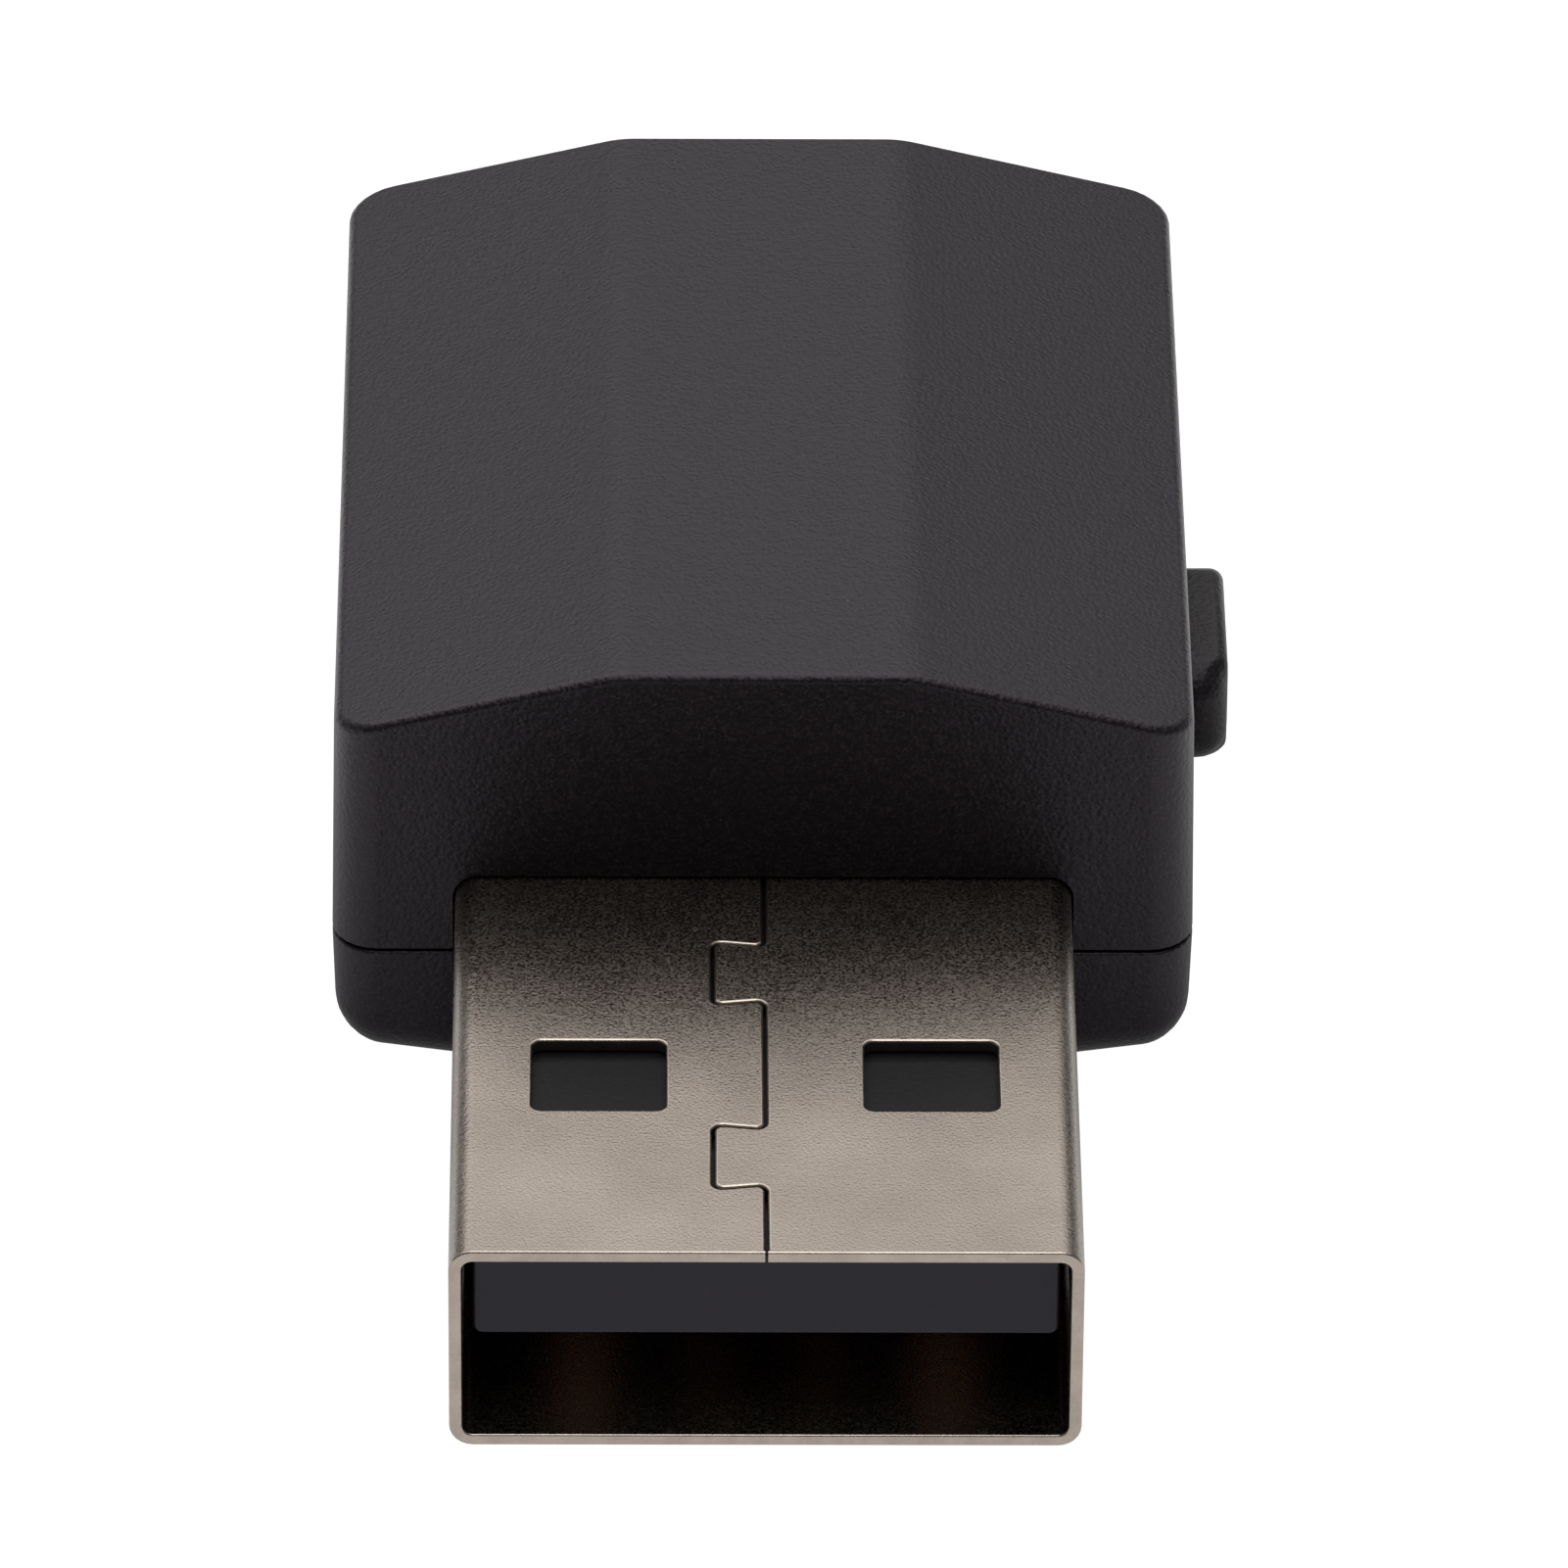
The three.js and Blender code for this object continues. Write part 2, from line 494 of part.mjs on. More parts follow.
function circuitBoard() {
  const outline = block(
    -BOARD_HALF_WIDTH, BOARD_HALF_WIDTH, BOARD_FRONT, BOARD_REAR, BOARD_BOTTOM, BOARD_TOP);
  const holes = POST_PLACES.map(([x, y]) =>
    pin(x, y, POST_RADIUS + FIT_GAP, BOARD_BOTTOM - MARGIN, BOARD_TOP + MARGIN));
  const legNotches = [-1, 1].map((side) => chip(
    side * (PLUG_WIDTH - PLUG_WALL) / 2, PLUG_REAR, PLUG_WALL + 2 * FIT_GAP, 2 * (LEG_LENGTH + FIT_GAP),
    BOARD_THICKNESS + 2 * MARGIN, BOARD_BOTTOM - MARGIN));
  const buttonNotch = sweep(flangeOutline(), 'x', FLANGE_TRAVEL_END, BODY_HALF_WIDTH);
  return cut(outline, ...holes, ...legNotches, buttonNotch);
}

function shieldCan() {
  const { x, y, width, length, height, wall } = SHIELD;
  const lid = chip(x, y, width, length, height);
  const inside = chip(x, y, width - 2 * wall, length - 2 * wall, height - wall + MARGIN, BOARD_TOP - MARGIN);
  return cut(lid, inside);
}

// A moulded part with rows of legs at its front and rear sides.
function leggedPart(x, y, width, length, height, legsPerSide) {
  const legWidth = width / (2 * legsPerSide);
  const legs = [-1, 1].flatMap((side) => Array.from({ length: legsPerSide }, (_, index) => {
    const legX = x - width / 2 + (2 * index + 1) * legWidth;
    return chip(legX, y + side * length / 2, legWidth, length / 2, height / 4);
  }));
  return join(chip(x, y, width, length, height - height / 8, BOARD_TOP + height / 8), ...legs);
}

// A two-terminal part along Y: a body between two slightly larger end caps.
function endCappedPart(x, y, height) {
  const { length, width, cap } = END_CAPPED;
  const caps = [-1, 1].map((side) => chip(x, y + side * (length - cap) / 2, width, cap, height));
  return join(chip(x, y, width - FIT_GAP, length, height - FIT_GAP), ...caps);
}

// A sheet antenna standing at the board's rear edge on a feed leg and a ground leg, with a folded top.
function antenna() {
  const { length, thickness, clear, height, arm, leg, fold } = ANTENNA;
  const y = BOARD_REAR - ANTENNA_FROM_END;
  const [half, top] = [length / 2, BOARD_TOP + height];
  const plate = block(-half, half, y, y + thickness, BOARD_TOP + clear, top);
  const roof = block(-half, half, y - fold, y + thickness, top - thickness, top);
  const slot = block(-half + arm, half + MARGIN, y - MARGIN, y + MARGIN, top - height / 3, top - height / 4);
  const legs = [0, 2.5 * leg].map((offset) =>
    block(-half + offset, -half + offset + leg, y, y + thickness, BOARD_TOP, BOARD_TOP + clear + thickness));
  return join(cut(plate, slot), roof, ...legs);
}

// ---- Switch behind the button ----

const [SWITCH_Y0, SWITCH_Y1] = [BUTTON_Y - SWITCH_LENGTH / 2, BUTTON_Y + SWITCH_LENGTH / 2];
const POCKET_HALF_WIDTH = SWITCH_LENGTH / 2 - 2 * SWITCH_WALL;
const DOME_FRONT = SWITCH_BACK + SWITCH_FLOOR + DOME_RISE + DOME_THICKNESS;
const PAD_BACK = DOME_FRONT + BUTTON_TRAVEL + FIT_GAP / 2;

function switchHousing() {
  const body = block(SWITCH_BACK, SWITCH_FRONT, SWITCH_Y0, SWITCH_Y1, BOARD_TOP, BOARD_TOP + SWITCH_HEIGHT);
  const [y0, y1] = [BUTTON_Y - POCKET_HALF_WIDTH, BUTTON_Y + POCKET_HALF_WIDTH];
  const [z0, z1] = [BOARD_TOP + SWITCH_WALL, BOARD_TOP + SWITCH_HEIGHT - SWITCH_WALL];
  return cut(body, block(SWITCH_BACK + SWITCH_FLOOR, SWITCH_FRONT + MARGIN, y0, y1, z0, z1));
}

// The sheet cover: a front plate with an opening for the plunger, and a top plate.
function switchCover() {
  const face = SWITCH_FRONT + COVER_THICKNESS;
  const under = BOARD_TOP + SWITCH_HEIGHT;
  const front = block(SWITCH_FRONT, face, SWITCH_Y0, SWITCH_Y1, BOARD_TOP, under + COVER_THICKNESS);
  const top = block(SWITCH_BACK, face, SWITCH_Y0, SWITCH_Y1, under, under + COVER_THICKNESS);
  const [halfWidth, halfHeight] = [PLUNGER_NOSE_WIDTH / 2 + FIT_GAP, PLUNGER_NOSE_HEIGHT / 2 + FIT_GAP];
  const opening = block(
    SWITCH_FRONT - MARGIN, SWITCH_FRONT + MARGIN, BUTTON_Y - halfWidth, BUTTON_Y + halfWidth,
    SWITCH_MIDDLE_HEIGHT - halfHeight, SWITCH_MIDDLE_HEIGHT + halfHeight);
  return cut(join(front, top), opening);
}

function switchPlunger() {
  const halfPad = POCKET_HALF_WIDTH - 2 * FIT_GAP;
  const halfPadHeight = SWITCH_HEIGHT / 2 - SWITCH_WALL - FIT_GAP;
  const pad = block(
    PAD_BACK, SWITCH_FRONT - FIT_GAP / 2, BUTTON_Y - halfPad, BUTTON_Y + halfPad,
    SWITCH_MIDDLE_HEIGHT - halfPadHeight, SWITCH_MIDDLE_HEIGHT + halfPadHeight);
  const nose = block(
    PAD_BACK, PLUNGER_TIP, BUTTON_Y - PLUNGER_NOSE_WIDTH / 2, BUTTON_Y + PLUNGER_NOSE_WIDTH / 2,
    SWITCH_MIDDLE_HEIGHT - PLUNGER_NOSE_HEIGHT / 2, SWITCH_MIDDLE_HEIGHT + PLUNGER_NOSE_HEIGHT / 2);
  return join(pad, nose);
}

// The spring plate as it lies when pressed: a shallow bow with its rims on the pocket's floor.
function switchDome() {
  const half = POCKET_HALF_WIDTH - 2 * FIT_GAP;
  const floor = SWITCH_BACK + SWITCH_FLOOR;
  const bow = (x) => new THREE.QuadraticBezierCurve(
    new THREE.Vector2(x, BUTTON_Y - half), new THREE.Vector2(x + 2 * DOME_RISE, BUTTON_Y),
    new THREE.Vector2(x, BUTTON_Y + half)).getPoints(DOME_STEPS);
  const outline = new THREE.Shape([...bow(floor).reverse(), ...bow(floor + DOME_THICKNESS)]);
  const [z0, z1] = [BOARD_TOP + SWITCH_WALL + FIT_GAP, BOARD_TOP + SWITCH_HEIGHT - SWITCH_WALL - FIT_GAP];
  return sweep(outline, 'z', z0, z1);
}

// ---- Button ----

function pairingButton() {
  const head = sweep(buttonOutline(0), 'x', FLANGE_INSIDE, BUTTON_FACE);
  const [y0, y1] = [BUTTON_Y - BUTTON_LENGTH / 2, BUTTON_Y + BUTTON_LENGTH / 2];
  const plan = roundedOutline([
    [FLANGE_INSIDE, y0], [BUTTON_FACE, y0, BUTTON_FRONT_ROUNDING], [BUTTON_FACE, y1, BUTTON_REAR_ROUNDING],
    [FLANGE_INSIDE, y1],
  ]);
  const planBlock = sweep(plan, 'z', PARTING_HEIGHT - BUTTON_HEIGHT, PARTING_HEIGHT + BUTTON_HEIGHT);
  const flange = sweep(buttonOutline(FLANGE_LIP), 'x', FLANGE_INSIDE, FLANGE_OUTSIDE);
  return join(head.intersect(planBlock), flange);
}

// ---- Assembly ----

place('upper_shell', upperShell(), 'blackPlastic');
place('lower_shell', lowerShell(), 'blackPlastic');
place('pairing_button', pairingButton(), 'blackPlastic');

place('plug_shell', plugShell(), 'nickelSteel');
place('plug_insulator', plugInsulator(), 'insulator');
CONTACTS.forEach(([name, x, fromTip]) => place(name, contact(x, fromTip), 'gold'));

place('circuit_board', circuitBoard(), 'laminate');
place('rf_shield', shieldCan(), 'tin');
place('antenna', antenna(), 'copperAlloy');

Object.entries(PACKAGES).forEach(([name, [x, y, width, length, height, finish]]) =>
  place(name, chip(x, y, width, length, height), finish));
Object.entries(LEGGED_PACKAGES).forEach(([name, sizes]) => place(name, leggedPart(...sizes), 'moulding'));
for (let index = 0; index < CAPACITOR.count; index += 1) {
  const y = CAPACITOR.firstY + index * CAPACITOR.pitch;
  place(`capacitor_${index + 1}`, endCappedPart(CAPACITOR.x, y, CAPACITOR.height), 'ceramic');
}
for (let index = 0; index < RESISTOR.count; index += 1) {
  const x = RESISTOR.firstX + index * RESISTOR.pitch;
  place(`resistor_${index + 1}`, endCappedPart(x, RESISTOR.y, RESISTOR.height), 'moulding');
}

place('switch_housing', switchHousing(), 'insulator');
place('switch_cover', switchCover(), 'tin');
place('switch_plunger', switchPlunger(), 'moulding');
place('switch_dome', switchDome(), 'springSteel');

export default adapter;
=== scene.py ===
"""A small USB wifi adapter with a facetted black body, a rolled steel plug and a side button.

Sizes are in millimetres, as a toolmaker would draw them, and every finished mesh is in metres.
+X is the button's side, -Y points to the plug's tip, and +Z is up from the face it rests on.
"""

from __future__ import annotations

import logging
import math
from collections.abc import Callable, Sequence
from dataclasses import dataclass, replace
from enum import Enum
from typing import NamedTuple

import bmesh
import bpy
from mathutils import Matrix, Vector

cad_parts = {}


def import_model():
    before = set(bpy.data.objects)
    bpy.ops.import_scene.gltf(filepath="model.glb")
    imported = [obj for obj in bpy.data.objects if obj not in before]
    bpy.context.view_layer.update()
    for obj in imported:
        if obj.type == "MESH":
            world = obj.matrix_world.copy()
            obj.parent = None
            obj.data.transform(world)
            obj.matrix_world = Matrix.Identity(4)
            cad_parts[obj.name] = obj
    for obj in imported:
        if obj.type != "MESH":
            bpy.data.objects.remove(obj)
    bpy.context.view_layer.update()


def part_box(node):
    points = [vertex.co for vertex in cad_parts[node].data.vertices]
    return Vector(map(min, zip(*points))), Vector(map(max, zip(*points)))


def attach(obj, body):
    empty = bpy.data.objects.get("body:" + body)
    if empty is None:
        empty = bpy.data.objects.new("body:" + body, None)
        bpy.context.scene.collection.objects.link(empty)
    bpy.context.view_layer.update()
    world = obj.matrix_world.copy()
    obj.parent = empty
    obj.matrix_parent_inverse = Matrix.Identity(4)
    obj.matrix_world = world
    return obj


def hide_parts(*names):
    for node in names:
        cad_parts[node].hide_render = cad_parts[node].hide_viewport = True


MM = 0.001
RIGHT_ANGLE = math.pi / 2

# How near, in millimetres, two points count as one, and a point counts as on a plane.
FINE_WELD = 1e-5
WELD = 1e-4
NEAR = 1e-3

log = logging.getLogger("adapter")

Colour = tuple[float, float, float]
Place = tuple[float, float, float]


# ---------------------------------------------------------------- shader maths


class Signal:
    """A shader socket that can be used in Python expressions."""

    def __init__(self, tree: Tree, socket: bpy.types.NodeSocket) -> None:
        """Keeps the socket and the tree that it belongs to."""
        self.tree = tree
        self.socket = socket

    @property
    def is_vector(self) -> bool:
        """Whether the socket carries three numbers."""
        return self.socket.type in ("VECTOR", "RGBA")

    def _combine(self, operation: str, first: Operand, second: Operand) -> Signal:
        """Adds the node that works out one operation.

        Args:
            operation: The operation's name, the same for numbers and vectors.
            first: The left operand.
            second: The right operand.

        Returns:
            The result.
        """
        if self.is_vector:
            first, second = (
                (side,) * 3 if isinstance(side, (int, float)) else side for side in (first, second))
        kind = "ShaderNodeVectorMath" if self.is_vector else "ShaderNodeMath"
        return self.tree.signal(kind, {"operation": operation}, {0: first, 1: second})

    def __add__(self, other: Operand) -> Signal:
        """Adds."""
        return self._combine("ADD", self, other)

    __radd__ = __add__

    def __sub__(self, other: Operand) -> Signal:
        """Takes away."""
        return self._combine("SUBTRACT", self, other)

    def __rsub__(self, other: Operand) -> Signal:
        """Takes this away from the other."""
        return self._combine("SUBTRACT", other, self)

    def __mul__(self, other: Operand) -> Signal:
        """Multiplies."""
        return self._combine("MULTIPLY", self, other)

    __rmul__ = __mul__

    def between(self, low: float, high: float) -> Signal:
        """Turns smoothly from 0 at low to 1 at high."""
        inputs = {"Value": self, "From Min": low, "From Max": high}
        return self.tree.signal(
            "ShaderNodeMapRange", {"interpolation_type": "SMOOTHSTEP"}, inputs, "Result")

    def length(self) -> Signal:
        """How long a vector is."""
        return self.tree.signal("ShaderNodeVectorMath", {"operation": "LENGTH"}, {0: self}, "Value")

    def dot(self, direction: Sequence[float]) -> Signal:
        """The part of a vector along a direction."""
        inputs = {0: self, 1: tuple(direction)}
        return self.tree.signal("ShaderNodeVectorMath", {"operation": "DOT_PRODUCT"}, inputs, "Value")


Operand = Signal | float | tuple[float, ...]


class Tree:
    """The node tree of a material or a world."""

    def __init__(self, owner: bpy.types.Material | bpy.types.World) -> None:
        """Empties the owner's tree and keeps it.

        Args:
            owner: The material or world.
        """
        owner.use_nodes = True
        self.nodes = owner.node_tree.nodes
        self.links = owner.node_tree.links
        self.nodes.clear()

    def add(self, kind: str, settings: dict | None = None, inputs: dict | None = None) -> bpy.types.Node:
        """Adds any node.

        Args:
            kind: The node's type.
            settings: Its own settings, which are set first.
            inputs: Values or signals for its sockets, by name or number.

        Returns:
            The node.
        """
        node = self.nodes.new(kind)
        for name, value in (settings or {}).items():
            setattr(node, name, value)
        for name, value in (inputs or {}).items():
            socket = node.inputs[name]
            if isinstance(value, Signal):
                self.links.new(value.socket, socket)
            elif socket.type == "RGBA" and len(value) == 3:
                socket.default_value = (*value, 1.0)
            else:
                socket.default_value = value
        return node

    def signal(self, kind: str, settings: dict | None = None, inputs: dict | None = None,
               output: int | str = 0) -> Signal:
        """Adds any node, with arguments as for add, and gives one of its outputs."""
        return Signal(self, self.add(kind, settings, inputs).outputs[output])

    def place(self) -> Signal:
        """The point on the piece, in millimetres."""
        return self.signal("ShaderNodeTexCoord", output="Object") * (1 / MM)

    def noise(self, where: Signal, size: float, detail: float = 2.0, roughness: float = 0.5) -> Signal:
        """Cloudy noise from 0 to 1.

        Args:
            where: The point, in millimetres.
            size: The size of its blotches, in millimetres.
            detail: How many finer layers it has.
            roughness: How strong those are.

        Returns:
            The noise.
        """
        inputs = {"Vector": where, "Scale": 1 / size, "Detail": detail, "Roughness": roughness}
        return self.signal("ShaderNodeTexNoise", {}, inputs)

    def cells(self, where: Signal, size: float) -> Signal:
        """How far each point is from the middle of its cell, for cells of a size in millimetres."""
        inputs = {"Vector": where, "Scale": 1 / size, "Randomness": 1.0}
        return self.signal("ShaderNodeTexVoronoi", {"feature": "F1"}, inputs, "Distance")

    def mix(self, mask: Signal, first: Colour | Signal, second: Colour | Signal) -> Signal:
        """Mixes two colours by a mask."""
        return self.signal("ShaderNodeMix", {"data_type": "RGBA"}, {"Factor": mask, 6: first, 7: second}, 2)

    def bump(self, height: Signal, depth: float, under: Signal | None = None) -> Signal:
        """Turns a height into a surface normal.

        Args:
            height: The height, from 0 to 1.
            depth: What 1 stands for, in millimetres.
            under: A normal from a coarser layer, if there is one.

        Returns:
            The normal.
        """
        below = {} if under is None else {"Normal": under}
        inputs = {"Height": height, "Distance": depth * MM, "Strength": 1.0}
        return self.signal("ShaderNodeBump", {}, inputs | below)

    def surface(self, inputs: dict) -> None:
        """Ends the tree in one all-round shader with these inputs."""
        shader = self.signal("ShaderNodeBsdfPrincipled", {}, inputs)
        self.add("ShaderNodeOutputMaterial", {}, {"Surface": shader})


# ---------------------------------------------------------------- finishes


@dataclass(frozen=True)
class Finish:
    """A finish with a fine grain, soft mottling and a varying gloss."""

    name: str
    slot: str
    colour: Colour
    roughness: float
    metallic: float = 0.0
    specular: float = 0.5
    tint: Colour = (1.0, 1.0, 1.0)
    grain_size: float = 0.08
    grain_depth: float = 0.004
    mottle: float = 0.12
    mottle_size: float = 1.5
    gloss_spread: float = 0.08
    grain_gloss: float = 0.08
    coat: float = 0.0
    cloud_share: float = 0.6
    mottle_turn: tuple[float, float] = (0.3, 0.7)

    def pattern(self, tree: Tree, where: Signal) -> tuple[Signal, Signal, Signal]:
        """The colour, roughness and normal over the surface.

        Args:
            tree: The material's tree.
            where: The point, in millimetres.

        Returns:
            The three signals.
        """
        clouds = tree.noise(where, self.mottle_size, detail=3.0)
        grain = tree.noise(where, self.grain_size, roughness=0.6)
        dark = tuple(c * (1 - self.mottle) for c in self.colour)
        light = tuple(min(1.0, c * (1 + self.mottle)) for c in self.colour)
        blend = clouds * self.cloud_share + grain * (1 - self.cloud_share)
        colour = tree.mix(blend.between(*self.mottle_turn), dark, light)
        gloss = (clouds - 0.5) * self.gloss_spread + (grain - 0.5) * self.grain_gloss + self.roughness
        return colour, gloss, tree.bump(grain, self.grain_depth)

    def make(self) -> bpy.types.Material:
        """Makes the material, or finds it if it is made already.

        Returns:
            The material.
        """
        made = bpy.data.materials.get(self.name)
        if made:
            return made
        material = bpy.data.materials.new(self.name)
        tree = Tree(material)
        colour, gloss, normal = self.pattern(tree, tree.place())
        tree.surface({
            "Base Color": colour, "Roughness": gloss, "Normal": normal, "Metallic": self.metallic,
            "Specular IOR Level": self.specular, "Specular Tint": self.tint, "Coat Weight": self.coat,
        })
        return material


@dataclass(frozen=True)
class SparkPlastic(Finish):
    """Black plastic from a spark-eroded mould: matte, with a fine even grain, painted glints on the grain
    and a few dust specks.
    """

    pit_size: float = 0.11
    pit_depth: float = 0.018
    # glint is a painted highlight: a lighter colour laid on the highest spots of the fine grain.
    glint: Colour = (0.025, 0.021, 0.025)
    dust: Colour = (0.20, 0.19, 0.18)
    dust_spacing: float = 1.3
    dust_size: float = 0.03
    dust_strength: float = 0.8
    pit_share: float = 0.4
    pit_turn: tuple[float, float] = (0.0, 0.8)
    glint_turn: tuple[float, float] = (0.48, 0.75)

    def pattern(self, tree: Tree, where: Signal) -> tuple[Signal, Signal, Signal]:
        """The colour, roughness and normal over the surface, as for any finish.

        Args:
            tree: The material's tree.
            where: The point, in millimetres.

        Returns:
            The three signals.
        """
        colour, gloss, _ = super().pattern(tree, where)
        pits = tree.cells(where, self.pit_size).between(*self.pit_turn)
        fine = tree.noise(where, self.grain_size, detail=3.0, roughness=0.65)
        normal = tree.bump(pits * self.pit_share + fine * (1 - self.pit_share), self.pit_depth)
        near = 1 - tree.cells(where, self.dust_spacing).between(0.0, self.dust_size / self.dust_spacing)
        # Painted glints: the base colour turns lighter where the fine grain is highest.
        with_painted_glints = tree.mix(fine.between(*self.glint_turn), colour, self.glint)
        return tree.mix(near * self.dust_strength, with_painted_glints, self.dust), gloss, normal


@dataclass(frozen=True)
class PlatedSteel(Finish):
    """Nickel on rolled steel: warm grey, with an orange-peel grain and faint rolling lines."""

    peel_size: float = 0.06
    peel_depth: float = 0.010
    line_depth: float = 0.0012
    line_squeeze: Place = (0.35, 9.0, 9.0)

    def pattern(self, tree: Tree, where: Signal) -> tuple[Signal, Signal, Signal]:
        """The colour, roughness and normal over the surface, as for any finish.

        Args:
            tree: The material's tree.
            where: The point, in millimetres.

        Returns:
            The three signals.
        """
        colour, gloss, _ = super().pattern(tree, where)
        peel = tree.noise(where, self.peel_size, detail=2.5, roughness=0.55)
        lines = tree.noise(where * self.line_squeeze, 1.0)
        return colour, gloss, tree.bump(lines, self.line_depth, tree.bump(peel, self.peel_depth))


@dataclass(frozen=True)
class Laminate(Finish):
    """Circuit board: solder mask over copper tracks, which stand a little proud of it."""

    track: Colour = (0.020, 0.085, 0.040)
    track_pitch: float = 0.9
    track_length: float = 3.06
    track_stagger: float = 0.37
    track_width: float = 0.16
    track_blur: float = 0.2
    track_height: float = 0.03

    def pattern(self, tree: Tree, where: Signal) -> tuple[Signal, Signal, Signal]:
        """The colour, roughness and normal over the surface, as for any finish.

        Args:
            tree: The material's tree.
            where: The point, in millimetres.

        Returns:
            The three signals.
        """
        colour, gloss, _ = super().pattern(tree, where)
        tracks = tree.signal("ShaderNodeTexBrick", {"offset": self.track_stagger}, {
            "Vector": where, "Scale": 1.0, "Mortar Size": self.track_width,
            "Mortar Smooth": self.track_blur, "Brick Width": self.track_length,
            "Row Height": self.track_pitch}, "Fac")
        return tree.mix(tracks, colour, self.track), gloss, tree.bump(tracks, self.track_height)


BLACK_PLASTIC = SparkPlastic(
    "black_plastic_moulded", "black_plastic", (0.0030, 0.0021, 0.0030), 0.35, specular=0.222,
    tint=(1.0, 0.87, 1.0), grain_size=0.05, mottle=0.20, mottle_size=2.5, gloss_spread=0.05,
    grain_gloss=0.25)
BUTTON_PLASTIC = replace(
    BLACK_PLASTIC, name="button_plastic_moulded", colour=(0.0025, 0.0020, 0.0025), roughness=0.38,
    specular=0.19, tint=(1.0, 0.93, 0.98))
NICKEL = PlatedSteel(
    "nickel_on_steel", "nickel_steel", (0.202, 0.173, 0.148), 0.29, metallic=1.0,
    grain_size=0.055, grain_gloss=0.7, mottle=0.12, mottle_size=2.0, gloss_spread=0.06)
RAW_EDGE = Finish(
    "sheared_steel_edge", "nickel_steel", (0.262, 0.226, 0.193), 0.30, metallic=1.0,
    grain_size=0.06, grain_depth=0.002, mottle=0.12, mottle_size=0.4)
TONGUE_PLASTIC = Finish(
    "tongue_plastic", "insulator", (0.0050, 0.0043, 0.0072), 0.34, specular=0.19, tint=(0.95, 0.91, 1.0),
    grain_size=0.12, grain_depth=0.006, mottle=0.15)
# Painted shade: a darker, less reflective copy of the tongue plastic for the tongue's up-facing faces.
TONGUE_TOP_PAINTED_SHADE = Finish(
    "tongue_plastic_painted_shade", "insulator", (0.0045, 0.0042, 0.0050), 0.40, specular=0.09,
    grain_size=0.12, grain_depth=0.006, mottle=0.15)
SWITCH_PLASTIC = Finish(
    "switch_plastic", "insulator", (0.030, 0.030, 0.032), 0.5, grain_size=0.12, mottle=0.15)
GOLD = Finish(
    "gold_on_contacts", "gold_contact", (0.34, 0.19, 0.13), 0.46, metallic=1.0,
    grain_size=0.1, grain_depth=0.002, mottle=0.06)
BOARD = Laminate(
    "board_laminate", "laminate", (0.010, 0.055, 0.026), 0.42, coat=0.3, mottle=0.2)
MOULDING = Finish(
    "chip_moulding", "moulding", (0.017, 0.017, 0.018), 0.48, grain_size=0.07, grain_depth=0.006)
TIN = Finish(
    "tinned_sheet", "tin", (0.62, 0.63, 0.64), 0.34, metallic=1.0, grain_size=0.2, grain_depth=0.003)
SPRING_STEEL = Finish(
    "spring_steel", "spring_steel", (0.55, 0.53, 0.49), 0.28, metallic=1.0, grain_size=0.1,
    grain_depth=0.002)
FERRITE = Finish(
    "ferrite_core", "ferrite", (0.040, 0.040, 0.042), 0.65, grain_size=0.06, grain_depth=0.01)
CERAMIC = Finish(
    "ceramic_chip", "ceramic", (0.32, 0.20, 0.095), 0.5, grain_size=0.05, grain_depth=0.004)
COPPER_ALLOY = Finish(
    "copper_alloy_sheet", "copper_alloy", (0.66, 0.50, 0.30), 0.34, metallic=1.0, grain_size=0.15,
    grain_depth=0.003)


# ---------------------------------------------------------------- outlines and solids


class Axis(Enum):
    """Which way a section is swept, as the directions of its width, its height and its length."""

    RIGHT = ((0, 1, 0), (0, 0, 1), (1, 0, 0))
    FORWARD = ((1, 0, 0), (0, 0, 1), (0, -1, 0))
    UP = ((1, 0, 0), (0, 1, 0), (0, 0, 1))

    def point(self, u: float, v: float, w: float) -> Vector:
        """The point at a width, a height and a length."""
        return sum((Vector(way) * size for way, size in zip(self.value, (u, v, w))), Vector())

    def ring(self, section: Sequence[Spot], inset: float, length: float) -> list[Vector]:
        """A section, moved in by an inset, at a length along the axis."""
        return [self.point(s.u - s.nu * inset, s.v - s.nv * inset, length) for s in section]


class Spot(NamedTuple):
    """A point of a section and the direction that it faces."""

    u: float
    v: float
    nu: float
    nv: float


class Boolean(Enum):
    """How one solid acts on another."""

    CUT = "DIFFERENCE"
    JOIN = "UNION"
    KEEP = "INTERSECT"


def rounded(half_u: float, half_v: float, radius: float, stations: Sequence[float] = (),
            steps: int = 6) -> list[Spot]:
    """A rectangle with rounded corners, whose upper half mirrors its lower half.

    Args:
        half_u: Half of its width.
        half_v: Half of its height.
        radius: Its corners' radius.
        stations: More places along its width that get a point, above and below.
        steps: How many steps each corner has.

    Returns:
        Its points, counter-clockwise from its left side.
    """
    def corner(side: int, start: float) -> list[Spot]:
        """The lower corner on one side, -1 or 1, from a start angle on."""
        turns = [start + RIGHT_ANGLE * index / steps for index in range(steps + 1)]
        return [Spot(side * (half_u - radius) + radius * math.cos(a),
                     radius - half_v + radius * math.sin(a), math.cos(a), math.sin(a)) for a in turns]

    low = [*corner(-1, math.pi), *(Spot(u, -half_v, 0.0, -1.0) for u in stations),
           *corner(1, 3 * RIGHT_ANGLE)]
    return low + [Spot(s.u, -s.v, s.nu, -s.nv) for s in reversed(low)]


def moved(section: Sequence[Spot], u: float, v: float) -> list[Spot]:
    """The section, moved."""
    return [Spot(s.u + u, s.v + v, s.nu, s.nv) for s in section]


def rounding(radius: float, steps: int = 3) -> list[tuple[float, float]]:
    """How far in and how far down each ring of a rounded edge is, from its side to its face."""
    turns = [RIGHT_ANGLE * index / steps for index in range(steps + 1)]
    return [(radius * (1 - math.cos(a)), radius * (1 - math.sin(a))) for a in turns]


